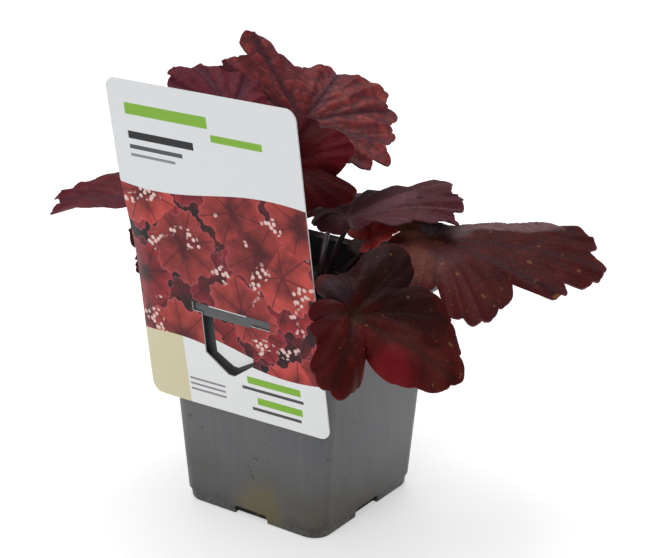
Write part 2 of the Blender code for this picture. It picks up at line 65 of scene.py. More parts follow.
def add(tree, kind, inputs=None, output=0, **settings):
    """Adds a node and returns one of its outputs. inputs gives a socket, by number or name, a value, a hex
    colour, or another node's output; settings are the node's own properties."""
    node = tree.nodes.new("ShaderNode" + kind)
    for name, value in settings.items():
        setattr(node, name, value)
    for place, value in (inputs or {}).items():
        if isinstance(value, bpy.types.NodeSocket):
            tree.links.new(value, node.inputs[place])
        else:
            node.inputs[place].default_value = linear(value) if isinstance(value, str) else value
    return node.outputs[output] if len(node.outputs) else node.inputs[0]


COLOUR = {"output": 2, "data_type": "RGBA"}        # a Mix node that mixes colours
TIMES = {"operation": "MULTIPLY"}                  # a Math node that multiplies its first two inputs
TIMES_PLUS = {"operation": "MULTIPLY_ADD"}         # one that multiplies them and adds the third
SOFTLY = {"interpolation_type": "SMOOTHSTEP"}      # a Map Range node that starts and ends softly


def new_material(name, roughness, ior=1.5):
    """A material with its Principled shader, ready for more nodes."""
    made = bpy.data.materials.new(name)
    made.use_nodes = True
    shader = made.node_tree.nodes["Principled BSDF"]
    shader.inputs["Roughness"].default_value = roughness
    shader.inputs["IOR"].default_value = ior
    return made, made.node_tree, shader


def drive(tree, shader, colour, rough=None, bump=None):
    """Links the outputs that give the shader its colour, its roughness and its relief."""
    for place, output in (("Base Color", colour), ("Roughness", rough), ("Normal", bump)):
        if output is not None:
            tree.links.new(output, shader.inputs[place])


print("red at half strength is", [round(c, 3) for c in linear("#800000")])

# %% [markdown]
# The camera stands where the photo was taken from: its turn, height and distance were worked out once from
# the pot's edges, which are known to be square. A camera looks along its own -Z, so its matrix is built
# straight from the three directions right, up and back, which is easier to read than Euler angles.

# %% Camera
AZIMUTH, ELEVATION, ROLL = (math.radians(a) for a in (34.56, 21.39, 0.72))
DISTANCE, AIM_ACROSS, AIM_UP = 805.8, 11.515, 95.81
FOCAL_PIXELS, FRAME_WIDTH, SENSOR = 1968.2, 658, 36.0      # the first two in the photo's pixels

back = Vector((math.sin(AZIMUTH) * math.cos(ELEVATION), -math.cos(AZIMUTH) * math.cos(ELEVATION),
               math.sin(ELEVATION)))
level = Vector((math.cos(AZIMUTH), math.sin(AZIMUTH), 0))
upright = back.cross(level)
right = level * math.cos(ROLL) + upright * math.sin(ROLL)
above = upright * math.cos(ROLL) - level * math.sin(ROLL)
aim = level * AIM_ACROSS + Vector((0, 0, AIM_UP))
bpy.ops.object.camera_add()
camera = bpy.context.object
camera.matrix_world = (Matrix.Translation((aim + back * DISTANCE) * MM)
                       @ Matrix((right, above, back)).transposed().to_4x4())
camera.data.sensor_width = SENSOR
camera.data.lens = FOCAL_PIXELS * SENSOR / FRAME_WIDTH
bpy.context.scene.camera = camera
print("lens", round(camera.data.lens, 1), "mm at", [round(c / MM) for c in camera.location])

# %% [markdown]
# Product photographs are lit by large soft lamps. One wide lamp hangs above and behind the plant, so that the
# tops of the leaves shine softly, and a weaker one stands by the camera. The rest comes from the world,
# brighter above than below. The view transform is Standard, so that white stays white.

# %% Light and floor
scene = bpy.context.scene
scene.view_settings.view_transform = "Standard"


def soft_lamp(name, place, size, power):
    """A square lamp that looks at the middle of the plant."""
    bpy.ops.object.light_add(type="AREA", location=Vector(place) * MM)
    lamp = bpy.context.object
    lamp.name = name
    lamp.data.size = size * MM
    lamp.data.energy = power
    lamp.rotation_euler = (aim - Vector(place)).to_track_quat("-Z", "Y").to_euler()
    return lamp


soft_lamp("top_lamp", (-250, 350, 1100), 900, 7.0)
soft_lamp("front_lamp", (100, -1000, 900), 600, 3.5)

world = bpy.data.worlds.new("studio")
scene.world = world
world.use_nodes = True
tree = world.node_tree
tree.nodes.clear()
upward = add(tree, "SeparateXYZ", {0: add(tree, "TexCoord", output="Generated")}, output=2)
upward = add(tree, "MapRange", {0: upward, 1: -0.1, 2: 0.7})
sky = add(tree, "Mix", {0: upward, 6: "#4a4a4c", 7: "#a8aaae"}, **COLOUR)
seen = add(tree, "LightPath", output="Is Camera Ray")
backdrop = add(tree, "Mix", {0: seen, 6: sky, 7: "#ffffff"}, **COLOUR)
add(tree, "OutputWorld", {0: add(tree, "Background", {0: backdrop, 1: 1.0})})

bpy.ops.mesh.primitive_plane_add(size=3000 * MM, location=(0, 0, -0.1 * MM))
floor = bpy.context.object
floor.name = "studio_floor"
paper, tree, shader = new_material("white_backdrop_paper", 0.9)
grain = add(tree, "TexNoise", {"Vector": add(tree, "TexCoord", output="Object"), "Scale": 40.0})
drive(tree, shader, add(tree, "Mix", {0: grain, 6: "#f2f2f2", 7: "#f6f6f6"}, **COLOUR))
shader.inputs["Emission Color"].default_value = (1, 1, 1, 1)
shader.inputs["Emission Strength"].default_value = 0.46      # a faint glow keeps far paper white
floor.data.materials.append(paper)

# %% [markdown]
# Most pieces end in the same few steps: deselect everything, shade smoothly except at sharp edges, scale the
# mesh from millimetres to metres, and tell the frame which CAD node the piece stands for. They are written
# once here.

# %% Finishing a piece
def only(obj):
    """Makes obj the one selected and active object."""
    bpy.ops.object.select_all(action="DESELECT")
    obj.select_set(True)
    bpy.context.view_layer.objects.active = obj


def use(obj, kind, **settings):
    """Adds a modifier and applies it at once."""
    only(obj)
    modifier = obj.modifiers.new(kind.lower(), kind)
    for name, value in settings.items():
        setattr(modifier, name, value)
    bpy.ops.object.modifier_apply(modifier=modifier.name)


def settle(obj):
    """Puts the object's place into its mesh, so that the object itself is at the origin."""
    only(obj)
    bpy.ops.object.transform_apply(location=True, rotation=True, scale=True)


def join(pieces):
    """Joins the pieces into the first one."""
    only(pieces[0])
    for piece in pieces[1:]:
        piece.select_set(True)
    bpy.ops.object.join()
    return pieces[0]


def extrude(*way):
    """Extrudes what is selected by (x, y, z)."""
    bpy.ops.mesh.extrude_region_move(TRANSFORM_OT_translate={"value": way})


def finish_piece(obj, name, node, angle=40):
    """Millimetres to metres, smooth shading, and the frame's calls."""
    only(obj)
    obj.name = obj.data.name = name
    bpy.ops.object.shade_smooth_by_angle(angle=math.radians(angle))
    obj.data.transform(Matrix.Scale(MM, 4))
    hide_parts(node)
    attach(obj, "root")
    places = (np.array([vertex.co for vertex in obj.data.vertices]) / MM).round(1)
    print(f"{name}: {len(obj.data.polygons)} faces, mm from", places.min(0), "to", places.max(0))


print("a finished mesh is scaled by", MM)

# %% [markdown]
# The pot is thin polypropylene sheet, formed by vacuum over a mould: grey outside and black inside, satin,
# with faint upright streaks where the sheet was drawn down, and soil stains round the foot. Noise that is
# stretched along the height gives the streaks. The stains are noise too, and the height above the foot says
# how much of it shows. A painted shade also darkens the lowest 34 mm smoothly towards the foot. The streaks
# come out 2.5 mm wide, the clouds 26 mm and the specks of soil under 3 mm.

# %% The pot's plastic
ALGAE = (0.004, -0.035, 0.006)      # a yellow-green film grows here, beside the damp drainage notch
FOOT_LINE = 0.001                   # heights in metres, as all the sizes in a material
DIRT_TOP, GRIME_TOP = 0.040, 0.010
# SHADE_TOP and SHADE_FOOT are where a painted shade starts and where it is full, darker towards the foot
SHADE_TOP, SHADE_FOOT = 0.034, 0.004


def pot_plastic(name, hue, roughness, streak):
    """Satin sheet: fine upright streaks in colour and gloss, dirt that gathers towards the foot, and painted
    shade.
    """
    made, tree, shader = new_material(name, roughness)
    place = add(tree, "TexCoord", output="Object")
    drawn = add(tree, "Mapping", {0: place, 3: (400.0, 400.0, 12.0)})
    streaks = add(tree, "TexNoise", {"Vector": drawn, "Scale": 1.0, "Detail": 3.0})
    clouds = add(tree, "TexNoise", {"Vector": place, "Scale": 38.0, "Detail": 4.0})
    specks = add(tree, "TexNoise", {"Vector": place, "Scale": 380.0, "Detail": 4.0, "Distortion": 1.2})
    height = add(tree, "SeparateXYZ", {0: place}, output=2)
    pulled = add(tree, "MapRange", {0: streaks, 1: 0.3, 2: 0.7, 4: streak})
    pale_patch = add(tree, "MapRange", {0: clouds, 1: 0.35, 2: 0.75, 4: 0.2})
    # painted shade: the lowest 34 mm turn smoothly darker, fully so from 4 mm down
    shade = add(tree, "MapRange", {0: height, 1: SHADE_TOP, 2: SHADE_FOOT, 4: 0.45}, **SOFTLY)
    low = add(tree, "MapRange", {0: height, 1: DIRT_TOP, 2: FOOT_LINE})
    patches = add(tree, "MapRange", {0: clouds, 1: 0.46, 2: 0.68, 4: 0.85})
    dirt = add(tree, "Math", {0: low, 1: patches}, **TIMES)
    lowest = add(tree, "MapRange", {0: height, 1: GRIME_TOP, 2: FOOT_LINE, 4: 0.9})
    grime = add(tree, "Math", {0: lowest, 1: add(tree, "MapRange", {0: specks, 1: 0.40, 2: 0.54})}, **TIMES)
    away = add(tree, "VectorMath", {0: place, 1: ALGAE}, output="Value", operation="DISTANCE")
    away = add(tree, "Math", {0: clouds, 1: -0.02, 2: away}, **TIMES_PLUS)
    algae = add(tree, "MapRange", {0: away, 1: -0.006, 2: 0.008, 3: 0.6, 4: 0.0}, **SOFTLY)
    spots = add(tree, "MapRange", {0: specks, 1: 0.665, 2: 0.70, 4: 0.85})
    grit = add(tree, "Math", {0: spots, 1: add(tree, "MapRange", {0: clouds, 1: 0.34, 2: 0.5})}, **TIMES)
    colour = hue
    for share, tint in ((pulled, "#ffffff"), (pale_patch, "#7d7b78"), (shade, "#3c3a34"), (dirt, "#4b4432"),
                        (grime, "#2c2620"), (algae, "#6b6030"), (grit, "#2a251f")):
        colour = add(tree, "Mix", {0: share, 6: colour, 7: tint}, **COLOUR)
    rough = add(tree, "MapRange", {0: clouds, 1: 0.3, 2: 0.7, 3: roughness - 0.06, 4: roughness + 0.12})
    bump = add(tree, "Bump", {"Strength": 0.025, "Distance": 0.0004, "Height": streaks})
    drive(tree, shader, colour, rough, bump)
    return made


grey_sheet = pot_plastic("grey_polypropylene_sheet", "#515254", 0.42, 0.018)
black_sheet = pot_plastic("black_polypropylene_sheet", "#141414", 0.5, 0.05)
print("pot materials:", grey_sheet.name, black_sheet.name)

# %% [markdown]
# A square plate with rounded corners is extruded up the outside, over the lip and down again inside, a ring
# at a time. That gives the wall its thickness all the way, and is how a thin pot is best made by hand. A
# Solidify modifier on one surface would be quicker, but the hollow lip and its skirt come out cleaner this
# way.

# %% The pot's walls
POT_HEIGHT, FOOT_HALF, TOP_HALF, LIP_HALF, WALL = 98.0, 35.2, 41.8, 46.0, 1.0
STEP_HEIGHT, STEP_DEPTH, SKIRT, CORNER = 5.0, 0.6, 6.5, 8.4
FOOT = FOOT_HALF - STEP_DEPTH
FOOT_FLAT = FOOT - 1.0            # the foot's flat part, inside its rounded edge


def wall_half(height):
    """The outer wall's half width at a height."""
    return FOOT_HALF + (TOP_HALF - FOOT_HALF) * height / POT_HEIGHT


def rounded_plate(wide, tall, corner, segments):
    """A flat plate with rounded corners, left in edit mode with its one face selected."""
    bpy.ops.object.select_all(action="DESELECT")
    bpy.ops.mesh.primitive_plane_add(size=1)
    plate = bpy.context.object
    plate.scale = (wide, tall, 1)
    settle(plate)
    bpy.ops.object.mode_set(mode="EDIT")
    bpy.ops.mesh.select_all(action="SELECT")
    bpy.ops.mesh.bevel(offset=corner, segments=segments, affect="VERTICES")
    bpy.ops.mesh.select_all(action="SELECT")
    return plate


def draw_up(rings, half, height):
    """Extrudes the selected face through rings of (half width, height), and leaves edit mode."""
    for next_half, next_height in rings:
        grown = next_half / half
        extrude(0, 0, next_height - height)
        bpy.ops.transform.resize(value=(grown, grown, 1), center_override=(0, 0, next_height))
        half, height = next_half, next_height
    bpy.ops.object.mode_set(mode="OBJECT")


pot = rounded_plate(2 * FOOT_FLAT, 2 * FOOT_FLAT, CORNER - 1.0, 8)
outside = [(FOOT - 0.3, 0.25), (FOOT, 1.0), (FOOT + 0.3, STEP_HEIGHT - 0.5)]
outside += [(wall_half(h), h) for h in (STEP_HEIGHT, 5.6, 18.0, 34.0, 50.0, 66.0, 82.0, 96.4)]
lip_in, lip_foot, under_lip = LIP_HALF - WALL, POT_HEIGHT - SKIRT, POT_HEIGHT - WALL
lip = [(TOP_HALF + 0.5, under_lip), (lip_in - 0.4, under_lip), (lip_in, under_lip - 0.4), (lip_in, lip_foot),
       (LIP_HALF, lip_foot), (LIP_HALF, POT_HEIGHT - 0.5), (LIP_HALF - 0.15, POT_HEIGHT - 0.12),
       (LIP_HALF - 0.5, POT_HEIGHT), (TOP_HALF - 0.4, POT_HEIGHT)]
inside = [(wall_half(h) - WALL, h) for h in (POT_HEIGHT - 0.5, 50.0, STEP_HEIGHT + 0.8)]
inside += [(FOOT - WALL, STEP_HEIGHT), (FOOT - WALL, WALL)]
draw_up(outside + lip + inside, FOOT_FLAT, 0.0)
print("pot walls:", len(pot.data.polygons), "faces")

# %% [markdown]
# The slot for the card, the notches at the bottom edge and the drain holes are punched out of the formed
# sheet on the real pot too, so here they are cut with Boolean modifiers. The sheet is black on its inner
# side: the faces that look inwards, the floor and the lip's flat top get that plastic.

# %% Slot, notches and drain holes
SLOT_LOW, SLOT_HIGH, SLOT_DROP = -13.75, 10.75, 2.0
NOTCH_HALF, NOTCH_HEIGHT, NOTCH_DEPTH, NOTCH_ROUND = 8.5, 4.0, 10.0, 2.0
DRAIN_RADIUS, DRAIN_PLACE = 3.0, 20.0


def cutter(low, high, round_by=0.0, turn=0.0):
    """A block to cut with, given by its corners, with all its edges rounded."""
    low, high = Vector(low), Vector(high)
    bpy.ops.object.select_all(action="DESELECT")
    bpy.ops.mesh.primitive_cube_add(size=1, location=(low + high) / 2)
    block = bpy.context.object
    block.scale = high - low
    settle(block)
    if round_by:
        use(block, "BEVEL", width=round_by, segments=5, affect="EDGES", limit_method="NONE")
    block.data.transform(Matrix.Rotation(turn, 4, "Z"))
    return block


def cut(obj, block):
    """Takes the block out of obj and removes it."""
    use(obj, "BOOLEAN", object=block, operation="DIFFERENCE", solver="EXACT")
    bpy.data.objects.remove(block, do_unlink=True)


cut(pot, cutter((SLOT_LOW, -LIP_HALF - 2, POT_HEIGHT - SLOT_DROP),
                (SLOT_HIGH, -TOP_HALF - 0.05, POT_HEIGHT + 2)))
for side in range(4):
    quarter = side * math.pi / 2
    cut(pot, cutter((-NOTCH_HALF, -FOOT_HALF - 3, -3), (NOTCH_HALF, NOTCH_DEPTH - FOOT_HALF, NOTCH_HEIGHT),
                    NOTCH_ROUND, quarter))
    bpy.ops.object.select_all(action="DESELECT")
    bpy.ops.mesh.primitive_cylinder_add(radius=DRAIN_RADIUS, depth=4, vertices=32,
                                        location=(DRAIN_PLACE, DRAIN_PLACE, 0))
    drain = bpy.context.object
    settle(drain)
    drain.data.transform(Matrix.Rotation(quarter, 4, "Z"))
    cut(pot, drain)
pot.data.materials.append(grey_sheet)
pot.data.materials.append(black_sheet)
for face in pot.data.polygons:
    outward = face.normal.dot(Vector((face.center.x, face.center.y, 0)).normalized())
    floor_or_top = face.normal.z > 0.5 and not STEP_HEIGHT + 1 <= face.center.z <= POT_HEIGHT - 0.3
    face.material_index = 1 if outward < -0.1 or floor_or_top else 0
finish_piece(pot, "pot_formed", "pot", 35)

# %% [markdown]
# The compost is peat with bark crumbs. Its surface is a fine grid pushed up and down by noise, cut to the
# pot's rounded square, and closed downwards into a block. Crumbs are one small faceted lump, copied some
# hundreds of times at random sizes and turns from a seeded draw, so that every run scatters them alike.

# %% Compost
SOIL_TOP, SOIL_GAP = 86.0, 1.3


def compost(name):
    """Dark damp peat: near black, with 3 mm lumps and brown fibres, and a few paler grains half that size."""
    made, tree, shader = new_material(name, 0.95)
    place = add(tree, "TexCoord", output="Object")
    lumps = add(tree, "TexNoise", {"Vector": place, "Scale": 350.0, "Detail": 5.0})
    grains = add(tree, "TexVoronoi", {"Vector": place, "Scale": 700.0}, output="Color")
    pale = add(tree, "MapRange", {0: add(tree, "SeparateColor", {0: grains}), 1: 0.93, 2: 0.97, 4: 0.6})
    fibres = add(tree, "MapRange", {0: lumps, 1: 0.35, 2: 0.7})
    colour = add(tree, "Mix", {0: fibres, 6: "#0f0b09", 7: "#2e2119"}, **COLOUR)
    colour = add(tree, "Mix", {0: pale, 6: colour, 7: "#6a5640"}, **COLOUR)
    bump = add(tree, "Bump", {"Strength": 0.9, "Distance": 0.0008, "Height": lumps})
    drive(tree, shader, colour, bump=bump)
    return made


peat = compost("damp_peat_compost")
print("soil material:", peat.name)

# %% The soil's block
def soil_height(x, y):
    """The soil's surface: low mounds, with finer crumbs on them."""
    coarse = noise.noise(Vector((x / 14, y / 14, 3.1)))
    fine = noise.noise(Vector((x / 3.2, y / 3.2, 8.7)))
    return SOIL_TOP + 0.9 * coarse + 0.5 * fine


def into_square(x, y, half, corner):
    """Pulls a point of a full square in to the same square with rounded corners."""
    over = Vector((abs(x) - half + corner, abs(y) - half + corner))
    if min(over) <= 0:
        return x, y
    over *= max(over) / over.length
    return math.copysign(half - corner + over.x, x), math.copysign(half - corner + over.y, y)


SOIL_HALF = wall_half(SOIL_TOP) - SOIL_GAP
bpy.ops.object.select_all(action="DESELECT")
bpy.ops.mesh.primitive_grid_add(x_subdivisions=70, y_subdivisions=70, size=2 * SOIL_HALF)
soil = bpy.context.object
for vertex in soil.data.vertices:
    x, y = into_square(vertex.co.x, vertex.co.y, SOIL_HALF, CORNER + 0.5)
    vertex.co = (x, y, soil_height(x, y))
bpy.ops.object.mode_set(mode="EDIT")
bpy.ops.mesh.select_mode(type="EDGE")
bpy.ops.mesh.select_all(action="DESELECT")
bpy.ops.mesh.select_non_manifold()
foot_half = FOOT - SOIL_GAP
for half, height in ((wall_half(STEP_HEIGHT) - SOIL_GAP, STEP_HEIGHT + 1.4), (foot_half, STEP_HEIGHT + 0.2),
                     (foot_half, SOIL_GAP)):
    border = [v.co.copy() for v in bmesh.from_edit_mesh(soil.data).verts if v.select]
    grown = half / max(co.x for co in border)
    extrude(0, 0, height - sum(co.z for co in border) / len(border))
    bpy.ops.transform.resize(value=(grown, grown, 0), center_override=(0, 0, height))
bpy.ops.mesh.edge_face_add()
bpy.ops.mesh.select_all(action="SELECT")
bpy.ops.mesh.normals_make_consistent(inside=False)
bpy.ops.object.mode_set(mode="OBJECT")
print("soil block:", len(soil.data.polygons), "faces")

# %% Crumbs
CRUMBS, CRUMB_SIZES, CRUMB_EDGE = 560, (0.45, 0.6, 0.8, 1.1, 1.5), 1.5
draw = random.Random(21)
bpy.ops.object.select_all(action="DESELECT")
bpy.ops.mesh.primitive_ico_sphere_add(subdivisions=1, radius=1.0)
crumb = bpy.context.object
for vertex in crumb.data.vertices:
    vertex.co *= 1 + 0.35 * noise.noise(vertex.co * 2.0)
crumbs = []
for _ in range(CRUMBS):
    x, y = (draw.uniform(-1, 1) * (SOIL_HALF - CRUMB_EDGE) for _ in "xy")
    x, y = into_square(x, y, SOIL_HALF - CRUMB_EDGE, CORNER)
    copy = bpy.data.objects.new("crumb", crumb.data.copy())
    scene.collection.objects.link(copy)
    size = draw.choice(CRUMB_SIZES)
    shape = Matrix.Diagonal((size * draw.uniform(0.7, 1.5), size, size * draw.uniform(0.4, 0.8), 1))
    spin = Matrix.Rotation(draw.uniform(0, math.tau), 4, "Z")
    spin = spin @ Matrix.Rotation(draw.uniform(-0.6, 0.6), 4, "X")
    copy.data.transform(Matrix.Translation((x, y, soil_height(x, y))) @ spin @ shape)
    crumbs.append(copy)
bpy.data.objects.remove(crumb, do_unlink=True)
join([soil, *crumbs])
soil.data.materials.append(peat)
finish_piece(soil, "soil_surface", "soil", 30)

# %% [markdown]
# The crown is the short woody stem that all the stalks grow from, rough with the scars of old ones.
# Overlapping balls and short rods are melted into one skin by a voxel remesh, as clay would be pressed
# together, and noise then roughens it.

# %% Crown
HOLE_DEPTH = 8.0                  # how deep the crown and the stalks stand in the soil
CROWN_TOP, CROWN_FOOT, CROWN_RADIUS, CROWN_TIP_RADIUS = 90.5, SOIL_TOP - HOLE_DEPTH, 5.6, 3.6
KNOBS, KNOB_RADIUS, KNOB_PLACE, KNOB_DROP = 6, 2.3, 3.0, 1.6
STUBS, STUB_PLACE, STUB_ROOT, STUB_TALL, STUB_STEP = 4, 1.9, 3.0, 3.5, 1.2
BARK_FOOT, BARK_RELIEF = 80.0, 0.45       # from this height up the bark is rough, and by so much


def bark(name):
    """Brown scaly rootstock, dry and matt, with scales 1.6 mm wide."""
    made, tree, shader = new_material(name, 0.85)
    place = add(tree, "TexCoord", output="Object")
    scales = add(tree, "TexVoronoi", {"Vector": place, "Scale": 620.0}, output="Distance")
    edges = add(tree, "MapRange", {0: scales, 1: 0.1, 2: 0.7})
    colour = add(tree, "Mix", {0: edges, 6: "#5a3a28", 7: "#21140f"}, **COLOUR)
    bump = add(tree, "Bump", {"Strength": 0.7, "Distance": 0.0006, "Height": scales})
    drive(tree, shader, colour, bump=bump)
    return made


draw = random.Random(11)
bpy.ops.object.select_all(action="DESELECT")
bpy.ops.mesh.primitive_cone_add(radius1=CROWN_RADIUS, radius2=CROWN_TIP_RADIUS, depth=CROWN_TOP - CROWN_FOOT,
                                vertices=32, location=(0, 0, (CROWN_TOP + CROWN_FOOT) / 2))
lumps = [bpy.context.object]
for number in range(KNOBS):
    turn = number * math.tau / KNOBS + draw.uniform(-0.2, 0.2)
    place = (KNOB_PLACE * math.cos(turn), KNOB_PLACE * math.sin(turn),
             CROWN_TOP - KNOB_DROP + draw.uniform(-0.6, 0.8))
    bpy.ops.mesh.primitive_ico_sphere_add(subdivisions=3, radius=KNOB_RADIUS, location=place)
    lumps.append(bpy.context.object)
for number in range(STUBS):
    turn = number * math.tau / STUBS + 0.5
    tall = STUB_ROOT + STUB_TALL + STUB_STEP * number
    place = (STUB_PLACE * math.cos(turn), STUB_PLACE * math.sin(turn), CROWN_TOP - STUB_ROOT + tall / 2)
    bpy.ops.mesh.primitive_cone_add(radius1=1.1, radius2=0.7, depth=tall, vertices=16, location=place)
    lumps.append(bpy.context.object)
for lump in lumps:
    settle(lump)
crown = join(lumps)
use(crown, "REMESH", mode="VOXEL", voxel_size=0.4)
for vertex in crown.data.vertices:
    if vertex.co.z > BARK_FOOT:
        vertex.co += vertex.normal * (BARK_RELIEF * noise.noise(vertex.co * 0.9) - 0.05)
crown.data.materials.append(bark("rootstock_bark"))
finish_piece(crown, "crown_woody", "crown", 60)

# %% [markdown]
# The leaves are the heart of the piece. A heuchera leaf is a palmate blade: veins fan out from the point
# where the stalk meets it, one to each lobe, and the lobes end in round teeth. Between the veins the blade
# swells into soft pillows. The numbers below are those of the CAD part: where each leaf's stalk joins and
# stands, how the blade is turned, and for each lobe its bearing, its reach, and how far its tip rises.

# %% The leaves' numbers
class Leaf:
    """One leaf: junction, foot of the stalk, (heading, pitch, roll) in degrees, and its lobes as (bearing,
    reach, rise of the tip). bulge is how far the blade's middle swells up, ruffle how far its margin waves
    between lobe and cleft, and fall the part of its reach that it loses beside the stalk."""

    def __init__(self, junction, foot, turn, lobes, bulge=3.0, ruffle=2.0, fall=0.7):
        self.junction = Vector(junction)
        self.foot = foot
        heading, pitch, roll = (math.radians(a) for a in turn)
        self.turn = (Matrix.Rotation(heading, 3, "Z") @ Matrix.Rotation(-pitch, 3, "Y")
                     @ Matrix.Rotation(roll, 3, "X"))
        self.lobes = lobes
        self.bulge = bulge
        self.ruffle = ruffle
        self.fall = fall


LEAVES = {
    "leaf_crest": Leaf((-18, 26, 153), (-5, 10), (91, 16, 32), [
        (-118, 27, 8), (-98, 36, 8), (-92, 33, 8), (-86, 40, 8), (-73, 34, 7), (-60, 38, 7), (-51, 35, 6),
        (-41, 41, 5), (-30, 38, 4), (-22, 43, 4), (-9, 40, 3), (3, 37, 1), (9, 33, 0), (16, 38, -1),
        (31, 31, 0), (46, 27, 2), (58, 32, 6), (67, 41, 9), (75, 44, 11), (83, 41, 11), (89, 33, 10),
        (97, 38, 10), (110, 42, 9)]),
    "leaf_upper_left": Leaf((-21, -21, 165), (-9.5, -4), (128, 17, 20), [
        (-125, 22, 5), (-75, 20, 4), (-46, 22, 3), (-30, 29, 2), (-16, 35, 1), (0, 33, 1), (16, 34, 1),
        (27, 32, 1), (33, 29, 1), (42, 32, 2), (60, 30, 4), (74, 27, 4), (120, 25, 2)]),
    "leaf_upright": Leaf((-7, -1, 143), (-10, 3.5), (121, 37, -1), [
        (-150, 25, 2), (-136, 28, 1), (-122, 32, 1), (-112, 31, 0), (-102, 20, -1), (-90, 24, 3),
        (-77, 28, 4), (-62, 27, 4), (-45, 24, 3), (-37, 21, 2), (-27, 24, 2), (-10, 23, 3), (30, 22, 3),
        (75, 18, 0), (120, 18, -2)], ruffle=1.0, fall=0.3),
    "leaf_left": Leaf((-50, -27, 124), (-13, -2.5), (195, 0, 0), [
        (-115, 26, 0), (-80, 36, 2), (-41, 45, 2), (-21, 43, 1), (-9, 47, -1), (1, 48, -2), (10, 43, -1),
        (24, 45, -2), (40, 35, 4), (66, 25, 6), (100, 17, 5)]),
    "leaf_low_left": Leaf((-36, -25, 106), (-10.5, -10), (200, -4, -8), [
        (-100, 24, -3), (-62, 34, -1), (-32, 40, 0), (-16, 31, 0), (8, 24, 0), (34, 24, -1), (64, 20, -3)]),
    "leaf_middle": Leaf((14, 12, 121), (7.5, 8.5), (52, 5, 4), [
        (-118, 14, 0), (-90, 16, 3), (-58, 27, 6), (-36, 38, 3), (-24, 45, -1.5), (-17, 43, -2),
        (-8, 48, -1.5), (1, 50, 0), (6, 48, 0), (19, 54, 0), (30, 42, 0), (45, 33, 0), (64, 28, 0),
        (90, 23, 0), (117, 21, 0), (148, 14, 0)], fall=-0.1),
    "leaf_right": Leaf((45, 27, 115), (15.5, -1), (-3, -12, 0), [
        (-150, 15, 3), (-104, 22, 0), (-84, 28, -1), (-66, 38, -3), (-55, 38, -3), (-49, 33, -4),
        (-43, 50, -6), (-36, 56, -6), (-27, 53, -6), (-12, 46, -5), (1, 40, -3), (5, 57, -1), (10, 60, 0),
        (16, 56, 0), (20, 64, 0), (28, 69, 0), (37, 72, 0), (45, 66, 0), (52, 72, 0), (60, 73, 0),
        (69, 68, -1), (75, 56, -2), (81, 41, -2), (87, 25, -1), (123, 18, 0)], fall=0.1),
    "leaf_young": Leaf((20, 21, 111), (9, 14), (29, 25, 14), [
        (-110, 9, 1), (-70, 9, 1), (-35, 11, 1), (-12, 13, 1), (12, 15, 0), (32, 17, 0), (59, 21, 0),
        (87, 23, 0), (116, 18, 0)], bulge=1.5, ruffle=0.5),
    "leaf_front": Leaf((57, -48, 109), (13, -9), (26, -33, 26), [
        (-155, 15, -4), (-122, 17, -4), (-107, 17, -5), (-97, 26, -6), (-84, 31, -6), (-69, 33, -6),
        (-55, 27, -5), (-43, 16, -2), (-27, 30, -1), (-9, 42, -1), (8, 49, 0), (27, 45, 0), (45, 43, 0),
        (57, 39, 0), (64, 30, 0), (74, 40, 0), (84, 44, 0), (99, 35, -1), (114, 21, -3), (142, 20, -3)],
        bulge=4.0, ruffle=1.2, fall=0.25),
    "leaf_inner": Leaf((12, 27, 98), (6.5, 19), (50, 17, 7), [
        (-105, 10, 1), (-60, 15, 1), (-10, 18, 0), (37, 20, -1), (80, 16, 2)], bulge=1.5, ruffle=1.0),
    "leaf_back_left": Leaf((-52, 22, 113), (-13.5, 8), (159, -6, -14), [
        (-110, 24, -3), (-74, 32, -3), (-38, 44, 0), (-8, 46, 1), (26, 38, 1), (62, 30, -4), (100, 22, -3)]),
    "leaf_back": Leaf((-20, 50, 106), (0.5, 13.5), (112, -7, -6), [
        (-110, 22, 0), (-72, 28, 1), (-34, 36, -2), (2, 44, 0), (36, 42, 1), (72, 30, -2), (106, 22, -1)]),
    "leaf_behind_card": Leaf((-8, -24, 116), (1, -13), (-110, 6, 4), [
        (-105, 16, 0), (-66, 20, 0), (-26, 21, 1), (16, 20, 1), (58, 20, 0), (98, 17, 0)], bulge=2.0),
}

print(len(LEAVES), "leaves with", sum(len(leaf.lobes) for leaf in LEAVES.values()), "lobes")

# %% [markdown]
# The margin is drawn in the flat leaf, as distances from the stalk at every bearing. From lobe to lobe the
# reach changes smoothly and dips into a cleft, as in the CAD part. Beside the stalk a blade ends, or closes
# round it. The round teeth are finer here: each is an arc between two notches, 4 to 6 mm wide, with its width
# and depth drawn at random from a seed.

# %% Margin
CLEFT, WIDE_TURN, SUNKEN = 0.27, 45.0, 0.94
OPEN_FALL, END_ANGLE = 0.5, 30.0  # a blade with more fall than this ends so many degrees past its last lobes
FULL_TURN = 357.0                 # and one with less leaves only a slit of 3 degrees beside the stalk
END_STEPS, LOBE_STEPS = 12, 24
TOOTH_WIDTH, TOOTH_SLACK = 5.6, 1.014
TOOTH_USUAL = 0.18                # a tooth's depth, as a part of its width
TOOTH_DEEP = {"leaf_crest": 0.22, "leaf_upper_left": 0.1, "leaf_front": 0.06, "leaf_right": 0.08,
              "leaf_left": 0.1, "leaf_young": 0.05, "leaf_upright": 0.1}


def is_cleft(lobes, place):
    """Whether an entry lies well inside both its neighbours, as the bottom of a cleft does."""
    around = [lobes[i][1] for i in (place - 1, place + 1) if 0 <= i < len(lobes)]
    return len(around) == 2 and lobes[place][1] < SUNKEN * min(around)


def slope_at(lobes, place):
    """How fast the reach changes with the bearing at an entry: a mean of both sides, and 0 at a tip."""
    if place in (0, len(lobes) - 1):
        return 0.0
    (low, reach_low, _), (here, reach, _), (high, reach_high, _) = lobes[place - 1:place + 2]
    before, after = (reach - reach_low) / (here - low), (reach_high - reach) / (high - here)
    return 2 * before * after / (before + after) if before * after > 0 else 0.0


